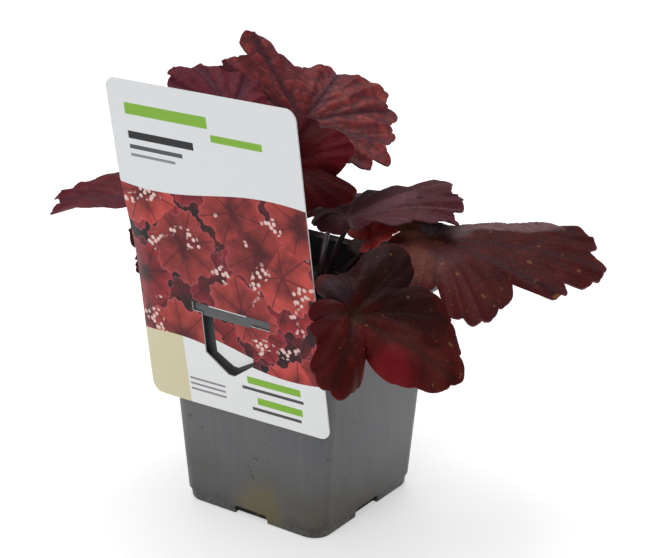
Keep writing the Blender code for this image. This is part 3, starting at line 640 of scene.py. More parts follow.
def between(lobes, place, f):
    """Reach, rise and nearness to a cleft, f of the way from one entry to the next: sharp at a cleft that is
    given, and with a shallow round one between two lobes."""
    left, right = lobes[place], lobes[place + 1]
    dip = swell = 0.0
    if is_cleft(lobes, place):
        blend, q = math.sin(f * math.pi / 2), 1 - f
    elif is_cleft(lobes, place + 1):
        blend, q = 1 - math.cos(f * math.pi / 2), f
    else:
        blend, q = f * f * (3 - 2 * f), min(2 * f, 2 - 2 * f)
        turn = right[0] - left[0]
        dip = CLEFT * min(1.0, turn / WIDE_TURN) ** 2 * (0.25 * q * q + 0.75 * q ** 5)
        swell = slope_at(lobes, place) * f * (1 - f) ** 2 - slope_at(lobes, place + 1) * f * f * (1 - f)
        swell *= turn
    reach = left[1] + (right[1] - left[1]) * blend + swell
    return reach * (1 - dip), left[2] + (right[2] - left[2]) * blend, q


def outline_form(leaf):
    """Bearings with the reach without teeth, the rise, and the nearness to a cleft (0 to 1)."""
    end_angle = (FULL_TURN - leaf.lobes[-1][0] + leaf.lobes[0][0]) / 2
    if leaf.fall > OPEN_FALL:
        end_angle = min(END_ANGLE, end_angle)
    rows = []
    for lobe, sign in ((leaf.lobes[0], -1), (leaf.lobes[-1], 1)):
        for step in range(1, END_STEPS + 1):
            f = step / END_STEPS
            rows.append((lobe[0] + sign * end_angle * f, lobe[1] * (1 - leaf.fall * f ** 2.4),
                         lobe[2] * (1 - 0.5 * f), 0.6 * f))
    for place, (left, right) in enumerate(zip(leaf.lobes, leaf.lobes[1:])):
        for step in range(LOBE_STEPS + 1):
            f = step / LOBE_STEPS
            rows.append((left[0] + (right[0] - left[0]) * f, *between(leaf.lobes, place, f)))
    return np.array(sorted(set(rows))).T


def toothed_margin(leaf, form, deepness, draw):
    """The flat outline as (bearing, distance), with a notch between every two teeth."""
    bearings, reaches = form[0], form[1]
    notches = [bearings[0]]
    for left, right in zip(leaf.lobes, leaf.lobes[1:]):
        arc = math.radians(right[0] - left[0]) * (left[1] + right[1]) / 2
        teeth = max(1, round(arc / TOOTH_WIDTH))
        notches += [left[0] + (right[0] - left[0]) * (k + 0.5 + draw.uniform(-0.22, 0.22)) / teeth
                    for k in range(teeth)]
    notches += [(leaf.lobes[-1][0] + bearings[-1]) / 2, bearings[-1]]
    notches.insert(1, (leaf.lobes[0][0] + bearings[0]) / 2)
    points = []
    for low, high in zip(notches, notches[1:]):
        arc = math.radians(high - low) * np.interp((low + high) / 2, bearings, reaches)
        deep = min(1.8, deepness * arc) * draw.uniform(0.45, 1.25)
        count = max(4, round(arc / 0.7))
        for step in range(count):
            u = step / count
            bearing = low + (high - low) * u
            arch = (1 - (2 * u - 1) ** 2) ** 0.6
            points.append((bearing, np.interp(bearing, bearings, reaches) * TOOTH_SLACK - deep * (1 - arch)))
    points.append((bearings[-1], reaches[-1]))
    return points


form = outline_form(LEAVES["leaf_crest"])
edge = toothed_margin(LEAVES["leaf_crest"], form, TOOTH_DEEP["leaf_crest"], random.Random(1))
print("crest leaf:", len(edge), "points round the margin")

# %% [markdown]
# The veins are drawn in the flat leaf too, as chains of points. A main vein runs to each lobe's tip, and side
# veins leave it in turn to the left and the right, shorter towards the tip, and bend forwards. They are kept
# as short straight pieces, so that the distance from any point of the blade to the nearest vein is quick to
# find.

# %% Veins
VEIN_STEP, MAIN_LONG = 0.9, 0.94      # mm between a vein's points, and a main vein's part of the reach
SIDE_PLACES = (0.22, 0.32, 0.43, 0.54, 0.65, 0.76, 0.86)     # where side veins leave it
SIDE_SHORTEST, SIDE_BEND = 3.0, 0.35
WIDEST_GAP = 50.0                     # degrees from a main vein to the next that its side veins may fill


def chain(start, heading, length, bend):
    """A vein's points, from a place along a heading in radians, that turns by bend over its length."""
    count = max(2, round(length / VEIN_STEP))
    points = [start]
    for step in range(count):
        angle = heading + bend * (step + 0.5) / count
        points.append(points[-1] + np.array((math.cos(angle), math.sin(angle))) * length / count)
    return points


MAIN_VEINS = {    # the bearings of each leaf's main veins
    "leaf_crest": (-104, -70, -36, 8, 72, 108), "leaf_upper_left": (-120, -60, -13, 25, 74, 118),
    "leaf_upright": (-126, -72, -25, 25, 75, 120), "leaf_left": (-112, -78, -40, 5, 50, 92),
    "leaf_low_left": (-100, -62, -28, 8, 45), "leaf_middle": (-98, -48, -8, 20, 60, 105),
    "leaf_right": (-130, -92, -50, 8, 38, 62, 100), "leaf_young": (-80, -12, 34, 84),
    "leaf_front": (-138, -76, 4, 36, 79, 125), "leaf_inner": (-75, 0, 60),
    "leaf_back_left": (-105, -58, -12, 28, 75), "leaf_back": (-100, -50, 2, 40, 88),
    "leaf_behind_card": (-95, -45, 0, 45, 90)}


def leaf_veins(bearings, form, draw):
    """(main veins, side veins), each a list of chains."""
    mains, sides = [], []
    for index, bearing in enumerate(bearings):
        reach = np.interp(bearing, form[0], form[1])
        sway = draw.uniform(-0.2, 0.2)
        main = chain(np.zeros(2), math.radians(bearing) - sway / 2, reach * MAIN_LONG, sway)
        mains.append(main)
        around = [abs(bearing - bearings[i]) for i in (index - 1, index + 1) if 0 <= i < len(bearings)]
        half_gap = math.radians(min(around + [WIDEST_GAP]) / 2)
        for number, place in enumerate(SIDE_PLACES):
            side = 1 if (number + index) % 2 else -1
            start = main[min(round(place * len(main)), len(main) - 2)]
            room = np.linalg.norm(start) * math.tan(half_gap) * 0.95 + 2.0
            length = min(room / math.sin(0.7), (1.04 - place) * reach * 0.8)
            if length > SIDE_SHORTEST:
                heading = math.radians(bearing) + side * draw.uniform(0.65, 0.9)
                sides.append(chain(start, heading, length, -side * SIDE_BEND))
    return mains, sides


mains, sides = leaf_veins(MAIN_VEINS["leaf_crest"], form, random.Random(1))
print("crest leaf:", len(mains), "main veins and", len(sides), "side veins")

# %% Distances
BLOCK = 2000                          # points at a time, to spare memory
CUSHION_LONG, CUSHION_WIDE = 5.4, 7.4
CUSHION_AT = 24.0                     # mm from the stalk, where a cushion has this size


def in_blocks(points, measure):
    """What measure gives for every point."""
    starts = range(0, len(points), BLOCK)
    return np.concatenate([measure(points[start:start + BLOCK, None, :]) for start in starts])


def distance_to(points, chains):
    """The least distance from each point to any of the chains' straight pieces."""
    starts = np.array([p for line in chains for p in line[:-1]])
    along = np.array([p for line in chains for p in line[1:]]) - starts

    def nearest(some):
        f = np.clip(((some - starts) * along).sum(2) / (along ** 2).sum(1), 0, 1)
        return np.sqrt((((starts + f[..., None] * along) - some) ** 2).sum(2)).min(1)

    return in_blocks(points, nearest)


def distance_to_net(flat, draw):
    """The distance to the net of small veins round the cushions: the borders between scattered middles, which
    stand in rows across the main veins."""
    bent = np.column_stack((np.hypot(flat[:, 0], flat[:, 1]) / CUSHION_LONG,
                            np.arctan2(flat[:, 1], flat[:, 0]) * CUSHION_AT / CUSHION_WIDE))
    middles = np.array([(row + draw.uniform(-0.35, 0.35), column + draw.uniform(-0.4, 0.4) + (row % 2) / 2)
                        for row in range(20) for column in range(-13, 14)])

    def half_lead(some):
        away = np.sqrt(((some - middles) ** 2).sum(2))
        first, second = np.sort(np.partition(away, 1, axis=1)[:, :2], axis=1).T
        return (second - first) / 2

    return in_blocks(bent, half_lead) * (CUSHION_LONG + CUSHION_WIDE) / 2


near = distance_to(np.array([[10.0, 10.0]]), mains)[0]
print("crest leaf: from (10, 10) to the nearest main vein", round(near, 1), "mm")

# %% [markdown]
# The blade could be a grid bent into shape, but a grid cuts across the veins and makes the teeth coarse. Here
# the outline, points along the veins, and an even spread of points between them are joined into triangles by
# a Delaunay triangulation, so that the creases of the veins and every tooth come out sharp with few faces.
# Each flat point is then lifted by the leaf's own form, pressed down along the veins, and puffed up between
# them. Two leaves also have a ridge, where the blade turns over and falls away.

# %% The points of a blade
GRAIN = 0.85                      # mm between the points of a blade
LEAST_GAP = 0.45                  # mm from the outline's points to the nearest others


def flat_point(bearing, reach):
    """The place on the flat leaf at a bearing in degrees and a distance from the stalk."""
    return reach * math.cos(math.radians(bearing)), reach * math.sin(math.radians(bearing))


def bearing_of(points, bearings):
    """The points' own bearings in degrees, counted within those of the margin."""
    bearing = np.degrees(np.arctan2(points[:, 1], points[:, 0]))
    bearing = np.where(bearing < bearings[0], bearing + 360, bearing)
    return np.where(bearing > bearings[-1], bearing - 360, bearing)


def spread_of_points(outline, veins):
    """The outline's points, and the veins' points with an even spread between, clear of both."""
    bearings, reaches = np.array(outline).T
    flat_edge = np.array([flat_point(b, r) for b, r in outline])
    top = reaches.max()
    rows = np.arange(-top, top, GRAIN * 0.866)
    columns = np.arange(-top, top, GRAIN)
    even = np.array([(x + (GRAIN / 2 if j % 2 else 0), y) for j, y in enumerate(rows) for x in columns])
    line = np.array([p for vein in veins for p in vein])

    def inside(points, clear):
        bearing = bearing_of(points, bearings)
        out = np.hypot(points[:, 0], points[:, 1])
        within = (bearing > bearings[0]) & (bearing < bearings[-1])
        return within & (out < np.interp(bearing, bearings, reaches) - clear) & (out > 0.4)

    def apart(points, others, clear):
        return in_blocks(points, lambda some: ((some - others) ** 2).sum(2).min(1) > clear * clear)

    line = line[inside(line, 0.5)]
    line = line[apart(line, flat_edge, LEAST_GAP)]
    chosen = []
    for point in line:
        if not chosen or min((point[0] - c[0]) ** 2 + (point[1] - c[1]) ** 2 for c in chosen[-400:]) > 0.12:
            chosen.append(point)
    line = np.array(chosen)
    even = even[inside(even, 0.4)]
    even = even[apart(even, np.vstack((flat_edge, line)), 0.62 * GRAIN)]
    spokes = np.array([flat_point(b, r) for b in (bearings[0], bearings[-1])
                       for r in np.arange(0.0, reaches[0], 0.3)])
    even = even[apart(even, spokes, LEAST_GAP)]
    return flat_edge, np.vstack((line, even))


print("points in a square centimetre of blade:", round(100 / (GRAIN * GRAIN * 0.866)))

# %% The lift of a blade
PUCKER_USUAL = 0.15               # how high the cushions stand, in mm
PUCKER = {"leaf_crest": 0.7, "leaf_left": 0.25, "leaf_middle": 0.2, "leaf_back": 0.5, "leaf_upright": 0.05,
          "leaf_front": 0.18, "leaf_right": 0.12}
RELIEF = {"leaf_upright": 0.15, "leaf_front": 0.55, "leaf_right": 0.5, "leaf_young": 0.6,
          "leaf_middle": 0.8, "leaf_upper_left": 0.6}     # how deep the veins lie, where it isn't all of 1
RIDGES = {"leaf_right": ((7.7, 14.6), (31.8, 38.7), 1.2, 0.12),    # two places on a ridge, its height in mm,
          "leaf_middle": ((0, 1), (42, 8), 1.0, 0.06)}             # and how steeply the blade falls beyond it
NO_RIDGE = ((0, 900), (1, 900), 0.0, 0.0)                          # one far off the blade, without effect
RIDGE_WIDE, RIDGE_LONG, RIDGE_FADE = 4.0, 26.0, 0.7       # in mm, and how fast a ridge ends past its length
MARGIN_CALM = 0.7                 # how much of the relief is gone at the margin


def beside(distance, width):
    """1 at no distance, and softly down to 0 beyond the width."""
    return np.exp(-(distance / width) ** 2)


def lift(key, leaf, form, flat, near_main, near_any, near_net, wobble):
    """For each flat point its height above the blade's plane, its part of the way out, and how far it lies
    beyond the ridge."""
    bearings, reaches, rises, nearness = form
    bearing = bearing_of(flat, bearings)
    t = np.hypot(flat[:, 0], flat[:, 1]) / (np.interp(bearing, bearings, reaches) * TOOTH_SLACK)
    t = np.clip(t, 0, 1)
    q = np.interp(bearing, bearings, nearness)
    body = (np.interp(bearing, bearings, rises) * t * t + leaf.bulge * 4 * t * (1 - t)
            + leaf.ruffle * t * t * (q * q - 0.3))
    relief = RELIEF.get(key, 1.0)
    pillow = 0.5 * relief * (0.35 + 0.65 * np.sqrt(t)) * (1 - beside(near_any, 2.6))
    crease = relief * (-0.2 * beside(near_main, 0.9) - 0.08 * beside(near_any, 0.7))
    fold = -0.6 * relief * beside(near_main, 3.6) * np.clip(t * 4, 0, 1)
    cushion = PUCKER.get(key, PUCKER_USUAL) * (1 - beside(np.minimum(near_any, near_net), 1.5))
    cushion *= np.clip(1.6 - 1.3 * t, 0.3, 1)
    (x0, y0), (x1, y1), top, fall = RIDGES.get(key, NO_RIDGE)
    ridge = math.hypot(x1 - x0, y1 - y0)
    beyond = ((x1 - x0) * (flat[:, 1] - y0) - (y1 - y0) * (flat[:, 0] - x0)) / ridge
    along = ((x1 - x0) * (flat[:, 0] - x0) + (y1 - y0) * (flat[:, 1] - y0)) / ridge
    turned_away = beyond - RIDGE_FADE * np.maximum(along - RIDGE_LONG, 0)
    body += (top * beside(beyond, RIDGE_WIDE) - fall * np.maximum(turned_away, 0)) * np.clip(t * 3, 0, 1)
    calm = 1 - MARGIN_CALM * np.clip((t - 0.7) / 0.3, 0, 1) ** 2
    relief = (pillow + crease + fold + cushion) * np.clip(t * 6, 0, 1) * calm
    return body + relief + wobble * t, t, turned_away


print("a crease 1 mm off its vein keeps", round(float(beside(1.0, 0.9)), 2), "of its depth")

# %% A whole blade
SHEET = 0.6                       # the blade's thickness in mm
UV_MM = 0.01                      # how much of the flat layout a millimetre takes


def make_blade(key, leaf, seed):
    """The thin blade as a closed mesh in millimetres, with its flat layout and its vein distances stored."""
    draw = random.Random(seed)
    form = outline_form(leaf)
    outline = toothed_margin(leaf, form, TOOTH_DEEP.get(key, TOOTH_USUAL), draw)
    mains, sides = leaf_veins(MAIN_VEINS[key], form, draw)
    flat_edge, inner = spread_of_points(outline, mains + sides)
    rim = np.vstack(([[0.0, 0.0]], flat_edge))
    points = np.vstack((rim, inner))
    flat, _, faces, *_ = delaunay_2d_cdt([Vector(p) for p in points], [], [list(range(len(rim)))], 1, 1e-5)
    flat = np.array([(p.x, p.y) for p in flat])
    near_main, near_any = distance_to(flat, mains), distance_to(flat, mains + sides)
    near_net = distance_to_net(flat, draw)
    wobble = np.array([0.9 * noise.noise(Vector((x / 11 + seed, y / 11, 0.3))) for x, y in flat])
    height, t, turned_away = lift(key, leaf, form, flat, near_main, near_any, near_net, wobble)
    placed = np.column_stack((flat, height)) @ np.array(leaf.turn).T + np.array(leaf.junction)
    mesh = bpy.data.meshes.new(key + "_blade")
    mesh.from_pydata(placed.tolist(), [], faces)
    for layer, values in (("near_main", near_main), ("near_vein", near_any), ("near_net", near_net),
                          ("outward", t), ("past_ridge", turned_away)):
        mesh.attributes.new(layer, "FLOAT", "POINT").data.foreach_set("value", values)
    layout = mesh.uv_layers.new(name="flat_leaf")
    corners = np.empty(len(mesh.loops), int)
    mesh.loops.foreach_get("vertex_index", corners)
    layout.data.foreach_set("uv", (flat[corners] * UV_MM).ravel())
    blade = bpy.data.objects.new(key + "_blade", mesh)
    scene.collection.objects.link(blade)
    use(blade, "SOLIDIFY", thickness=SHEET, offset=0.0, material_offset=1, material_offset_rim=0)
    return blade


test = make_blade("leaf_young", LEAVES["leaf_young"], 3)
print("young leaf's blade:", len(test.data.polygons), "faces")
bpy.data.objects.remove(test, do_unlink=True)

# %% [markdown]
# A stalk is a thin round tube along a smooth route, a little thicker at its foot. A curve with a bevel gives
# that at once, and it is turned into a mesh so that it can be joined to its blade, which is one piece with
# it.

# %% Stalk
STALK_FOOT, STALK_TOP, STALK_REACH, STALK_STEPS = 1.5, 0.85, 3.0, 26
FIRST_RING = 0.38                 # where the CAD blade's first faces end, as a part of its reach


def stalk_route(leaf):
    """From the foot, straight up out of the soil, and in a smooth bend to just under the blade."""
    foot = Vector((*leaf.foot, SOIL_TOP - HOLE_DEPTH))
    lift_off = Vector((*leaf.foot, SOIL_TOP + 1.0))
    reach = min(leaf.lobes, key=lambda lobe: abs(lobe[0]))[1]
    under = leaf.bulge * 4 * (1 - FIRST_RING) * STALK_REACH / reach - 0.5
    end = leaf.junction + leaf.turn @ Vector((STALK_REACH, 0, under))
    span = (end - lift_off).length
    bend_low = lift_off + Vector((0, 0, span * 0.45))
    bend_high = end - (leaf.turn @ Vector((0.45, 0, 0.55))).normalized() * span * 0.25
    steps = [n / (STALK_STEPS - 1) for n in range(STALK_STEPS)]
    return [foot] + [lift_off * (1 - t) ** 3 + bend_low * 3 * t * (1 - t) ** 2
                     + bend_high * 3 * t * t * (1 - t) + end * t ** 3 for t in steps]


def make_stalk(leaf):
    """The stalk as a closed tube of twelve sides."""
    route = stalk_route(leaf)
    bpy.ops.object.select_all(action="DESELECT")
    bpy.ops.curve.primitive_nurbs_path_add()
    tube = bpy.context.object
    curve = tube.data
    curve.splines.clear()
    curve.dimensions = "3D"
    curve.bevel_depth = STALK_FOOT
    curve.bevel_resolution = 4
    curve.use_fill_caps = True
    spline = curve.splines.new("POLY")
    spline.points.add(len(route) - 1)
    for number, place in enumerate(route):
        f = number / (len(route) - 1)
        spline.points[number].co = (*place, 1.0)
        spline.points[number].radius = 1.0 + (STALK_TOP / STALK_FOOT - 1.0) * f
    only(tube)
    bpy.ops.object.convert(target="MESH")
    tube = bpy.context.object
    bpy.ops.object.mode_set(mode="EDIT")
    bpy.ops.mesh.select_all(action="SELECT")
    bpy.ops.mesh.remove_doubles(threshold=0.001)
    bpy.ops.mesh.normals_make_consistent(inside=False)
    bpy.ops.object.mode_set(mode="OBJECT")
    return tube


route = stalk_route(LEAVES["leaf_crest"])
print("crest stalk:", round(sum(math.dist(a, b) for a, b in zip(route, route[1:]))), "mm long")

# %% [markdown]
# Leaf tissue is a waxy skin over soft flesh: semi-matt, with a broad soft shine. The red lies between the
# veins, and along them the blade is duller and greyer. So the colour starts from two reds in slow clouds, is
# turned towards the vein colour by the distance to the nearest vein, and gets the fine net of the smallest
# veins, about 2 mm wide, as a slight bump. A blade can also get a painted sheen, a soft ragged pale patch
# beyond its ridge, where it is seen at a low angle. The underside is paler and more matt. The clouds are
# 14 mm wide, the fine grain is under 2 mm, and the borders beside the veins are ragged over about 4 mm.

# %% Leaf tissue
LEAF_IOR = 1.42


def leaf_tissue(name, reds, vein, rib, roughness, gloss, net=0.3, washes=(), stain=0.0, painted_sheen=0.0,
                under=False):
    """reds are the two colours between the veins, vein the colour along them, and rib the thin line on
    the main ones. net says how far the net of small veins takes the vein colour. washes are soft local
    tints, each with its middle on the flat leaf and its reach in mm, its share and its colour. stain is the
    share of tan specks; the sheen argument gives the share of a painted sheen, a pale patch beyond the
    ridge; and under makes a blade's lower side."""
    made, tree, shader = new_material(name, roughness, LEAF_IOR)
    shader.inputs["Specular IOR Level"].default_value = gloss
    flat = add(tree, "UVMap", uv_map="flat_leaf")
    clouds = add(tree, "TexNoise", {"Vector": flat, "Scale": 7.0, "Detail": 4.0, "Roughness": 0.6})
    fine = add(tree, "TexNoise", {"Vector": flat, "Scale": 60.0, "Detail": 3.0})
    ragged = add(tree, "TexNoise", {"Vector": flat, "Scale": 26.0, "Detail": 3.0})
    near_main, near_vein, near_net, outward = (
        add(tree, "Attribute", attribute_name=layer, output="Fac")
        for layer in ("near_main", "near_vein", "near_net", "outward"))
    layers = [(add(tree, "MapRange", {0: clouds, 1: 0.35, 2: 0.65}), reds[1]),
              (add(tree, "MapRange", {0: fine, 1: 0.35, 2: 0.7, 4: 0.3}), reds[0])]
    for distance, near, far, share in ((near_net, 0.0, 1.5, net), (near_vein, 0.1, 1.8, 0.5),
                                       (near_main, 0.3, 3.3, 0.68)):
        edge = add(tree, "Math", {0: ragged, 1: -1.6, 2: distance}, **TIMES_PLUS)
        edge = add(tree, "Math", {0: edge, 1: 0.8}, operation="ADD")
        layers.append((add(tree, "MapRange", {0: edge, 1: near, 2: far, 3: share, 4: 0.0}, **SOFTLY), vein))
    for x, y, reach, share, tint in washes:
        middle, soft = (x * UV_MM, y * UV_MM, 0), reach * UV_MM
        away = add(tree, "VectorMath", {0: flat, 1: middle}, output="Value", operation="DISTANCE")
        away = add(tree, "Math", {0: clouds, 1: soft * -1.2, 2: away}, **TIMES_PLUS)
        away = add(tree, "MapRange", {0: away, 1: soft * -0.2, 2: soft * 0.5, 3: share, 4: 0.0}, **SOFTLY)
        layers.append((away, tint))
    # painted sheen: a pale ragged patch beyond the ridge, standing in for the shine of a blade seen at a low
    # angle
    if painted_sheen:
        past = add(tree, "Attribute", attribute_name="past_ridge", output="Fac")
        past = add(tree, "Math", {0: clouds, 1: 9.0, 2: past}, **TIMES_PLUS)
        pale_patch = add(tree, "MapRange", {0: past, 1: 4.0, 2: 10.0, 4: painted_sheen}, **SOFTLY)
        torn = add(tree, "MapRange", {0: ragged, 1: 0.35, 2: 0.6, 3: 0.55})
        layers.append((add(tree, "Math", {0: pale_patch, 1: torn}, **TIMES), "#8a6c6e"))
    layers.append((add(tree, "MapRange", {0: near_main, 1: 0.1, 2: 0.6, 3: 0.5, 4: 0.0}), rib))
    layers.append((add(tree, "MapRange", {0: outward, 1: 0.985, 2: 1.0, 4: 0.35}), "#8a5560"))
    if stain:
        dots = add(tree, "TexNoise", {"Vector": flat, "Scale": 22.0, "Detail": 1.0})
        layers.append((add(tree, "MapRange", {0: dots, 1: 0.70, 2: 0.74, 4: stain}), "#9a6a3c"))
    colour = reds[0]
    for share, tint in layers:
        colour = add(tree, "Mix", {0: share, 6: colour, 7: tint}, **COLOUR)
    rough = add(tree, "MapRange", {0: fine, 1: 0.3, 2: 0.7, 3: roughness - 0.05, 4: roughness + 0.08})
    cells = add(tree, "TexVoronoi", {"Vector": flat, "Scale": 45.0}, feature="DISTANCE_TO_EDGE")
    cells = add(tree, "MapRange", {0: cells, 1: 0.0, 2: 0.12})
    strength = 0.5 if under else 0.3
    bump = add(tree, "Bump", {"Strength": strength, "Distance": 0.0004, "Height": cells}, invert=under)
    bump = add(tree, "Bump", {"Strength": 0.25, "Distance": 0.0005, "Height": fine, "Normal": bump})
    drive(tree, shader, colour, rough, bump)
    return made


def stalk_skin(name, hue, light):
    """Stalks are smooth and dark, with lighter blotches about 6 mm long."""
    made, tree, shader = new_material(name, 0.45, LEAF_IOR)
    place = add(tree, "TexCoord", output="Object")
    blotch = add(tree, "TexNoise", {"Vector": place, "Scale": 160.0, "Detail": 3.0})
    share = add(tree, "MapRange", {0: blotch, 1: 0.35, 2: 0.7})
    drive(tree, shader, add(tree, "Mix", {0: share, 6: hue, 7: light}, **COLOUR))
    return made


stalk_dark = stalk_skin("leaf_stalk_skin", "#2c1418", "#4a262a")
print("stalk material:", stalk_dark.name)

# %% [markdown]
# No two leaves of a heuchera have quite the same red: young ones are bright, old ones brown and spotted, and
# each is a little darker or duller where it has weathered. So the leaves share one tissue, with colours of
# their own and a few soft washes at places on the flat blade. Some of the washes and colours are painted
# light: highlight and sheen on two blades, painted shade where blades lie under others or turn away, and a
# brighter red on the young leaf for the light that shines through it. Blade and stalk grew as one, and are
# joined into one piece.

# %% Every leaf
TISSUES = {   # two reds, the colour along veins, the rib's, roughness, gloss, the net's share, specks, slot
    "leaf_crest": (("#6c2226", "#9a4540"), "#4a282f", "#46262c", 0.5, 0.15, 0.6, 0.0, "leaf_crimson"),
    "leaf_upper_left": (("#5e1824", "#72222e"), "#481c2a", "#582c3a", 0.5, 0.1, 0.35, 0.0, "leaf_purple"),
    "leaf_upright": (("#3c0408", "#4e0912"), "#330509", "#40070e", 0.5, 0.06, 0.1, 0.0, "leaf_crimson"),
    "leaf_left": (("#591b22", "#70262e"), "#4c1e2a", "#5a2c36", 0.5, 0.15, 0.35, 0.0, "leaf_purple"),
    "leaf_low_left": (("#4c161c", "#5c2026"), "#3c141a", "#4c2228", 0.5, 0.15, 0.4, 0.0, "leaf_crimson"),
    "leaf_middle": (("#4c2228", "#602e35"), "#4e2a30", "#7a565c", 0.5, 0.15, 0.3, 0.1, "leaf_purple"),
    "leaf_right": (("#42100f", "#581818"), "#3a1a1e", "#3e2426", 0.5, 0.12, 0.3, 0.4, "leaf_bronze"),
    # leaf_young: bright red, and painted brighter still as painted light, for the light that shines through
    # it in the middle leaf's shade
    "leaf_young": (("#f0484a", "#fa7a70"), "#cc3836", "#d04644", 0.45, 0.15, 0.2, 0.0, "leaf_bright"),
    "leaf_front": (("#450b09", "#5c1a15"), "#2f100e", "#3a1714", 0.48, 0.1, 0.2, 0.4, "leaf_crimson"),
    # leaf_inner: darkest of all, as painted shade for the deep shade it sits in, over its own bronze red
    "leaf_inner": (("#2e1213", "#3c191a"), "#2a1214", "#3c2022", 0.5, 0.15, 0.3, 0.0, "leaf_bronze"),
    "leaf_back_left": (("#561c24", "#6e2832"), "#4c1e2a", "#5c3038", 0.5, 0.15, 0.4, 0.0, "leaf_purple"),
    "leaf_back": (("#6c2426", "#80302e"), "#502c36", "#48282e", 0.5, 0.15, 0.6, 0.0, "leaf_crimson"),
    "leaf_behind_card": (("#4e1c1a", "#622824"), "#442424", "#5a3634", 0.5, 0.15, 0.3, 0.2, "leaf_bronze"),
}
WASHES = {     # soft tints of colour and weather, and of painted light and shade: middle on the flat leaf in mm, reach, share, colour
    # leaf_front: the two near-black washes on its upper lobes are painted shade from the leaves above, over
    # its own dusky maroon
    "leaf_front": ((3, 26, 26, 0.85, "#1c0707"), (22, 16, 17, 0.65, "#240a09"), (-9.5, 5, 8, 0.85, "#2a2024"),
                   (1, 0, 5, 0.5, "#3c2a18"), (22, 1.5, 10, 0.5, "#5a2a22"), (36, 2, 9, 0.5, "#5e2c24"),
                   (24, -12, 11, 0.7, "#7a1820"), (-11, -9, 9, 0.5, "#48101a")),
    # leaf_right: the slate wash at (-5, 3.5) is its own slate, painted lighter as painted light against the
    # middle leaf's shadow, and the pale wash at (3, 12) is painted sheen beyond its ridge
    "leaf_right": ((-3, -4, 13, 0.75, "#7a4638"), (-5, 3.5, 7, 0.8, "#6a666e"), (8, -24, 16, 0.8, "#6e3c31"),
                   (14, -10, 9, 0.4, "#4a3034"), (-14, -6, 12, 0.8, "#9a604a"), (3, 12, 8, 0.6, "#7e6a6c"),
                   (34, -21, 14, 0.45, "#521919"), (42, -10, 12, 0.4, "#4a2218")),
    "leaf_upright": ((6, -22, 12, 0.5, "#6c1420"),),
    # leaf_middle: the five pale washes along its ridge are painted highlight, and the dark wash at (24, 22)
    # is painted shade beyond the ridge, over its own purple
    "leaf_middle": ((24, 22, 22, 0.6, "#3e1a22"), (1, -1, 5, 0.5, "#7c545a"), (8, 0, 5, 0.4, "#7c545a"),
                    (15, 1.5, 5, 0.35, "#7c545a"), (22, 3, 5, 0.35, "#7c545a"),
                    (29, 4.5, 5, 0.35, "#7c545a"), (36, -9, 13, 0.6, "#521c26"),
                    (20, -14, 11, 0.45, "#54202a"), (-10, -2, 9, 0.5, "#4a262c")),
}
PAINTED_SHEEN = {"leaf_right": 0.75}     # the share of a painted sheen, a pale patch beyond a blade's ridge
UNDERSIDE_HUES = (("#6a3c44", "#7c4c54"), "#84585e", "#8e666a")
FIRST_SEED = 40
for number, (name, leaf) in enumerate(LEAVES.items()):
    reds, vein, rib, roughness, gloss, net, stain, slot = TISSUES[name]
    blade = make_blade(name, leaf, FIRST_SEED + number)
    blade.data.materials.append(leaf_tissue(name + "_upper_tissue", reds, vein, rib, roughness, gloss, net,
                                            WASHES.get(name, ()), stain, PAINTED_SHEEN.get(name, 0.0)))
    blade.data.materials.append(leaf_tissue(name + "_under_tissue", *UNDERSIDE_HUES, 0.62, 0.2, under=True))
    stalk = make_stalk(leaf)
    stalk.data.materials.append(stalk_dark)
    finish_piece(join([blade, stalk]), name + "_grown", name, 60)

# %% [markdown]
# The card is a sheet of printed polypropylene with rounded corners. Its print is a plain design made for this
# model: a wavy band of overlapping scalloped leaves with small pale dots, and groups of bars above and below
# it. It is drawn wholly by nodes, in millimetres on the flat card. A Voronoi texture gives scattered centres;
# around each, the angle and the distance draw a lobed leaf, with light ribs of its own and a clouded red.

# %% The card's print
CARD_WIDTH, CARD_HEIGHT, CARD_CORNER, CARD_THICK = 90.0, 139.5, 4.5, 0.6
WAVE, TOP_WAVE, TOP_EDGE, LOW_WAVE, LOW_EDGE = 0.055, 3.0, 27.5, -4.0, -43.0      # the band's two wavy edges
CREAM_LEFT, CREAM_RIGHT = -24.0, -23.8                                            # a cream corner ends here
BARS = (   # middle across, middle up, half width, half height, in mm, and the colour
    (-17, 58, 20, 2.4, "#86b83c"), (16, 52, 12, 1.5, "#86b83c"), (-21, 47, 16, 1.6, "#2c2c2e"),
    (-24, 42, 13, 0.9, "#56565a"), (-26, 38.5, 11, 0.6, "#8e8e92"), (20, -51.5, 13, 1.6, "#86b83c"),
    (19, -55.5, 15, 0.7, "#4c4c50"), (22, -60.5, 11, 1.6, "#86b83c"), (20, -64.5, 12, 0.7, "#4c4c50"),
    (-14, -58, 9, 0.5, "#8e8e92"), (-14, -60.5, 9, 0.5, "#8e8e92"), (-14, -63, 9, 0.5, "#8e8e92"))
FOLIAGE = (   # distance between leaves in mm, a leaf's reach, its dark and its bright colour
    (21, 12.5, "#1a060a", "#66141e"), (25, 14.5, "#380810", "#aa2a32"), (33, 17.5, "#500c14", "#cc4c44"))


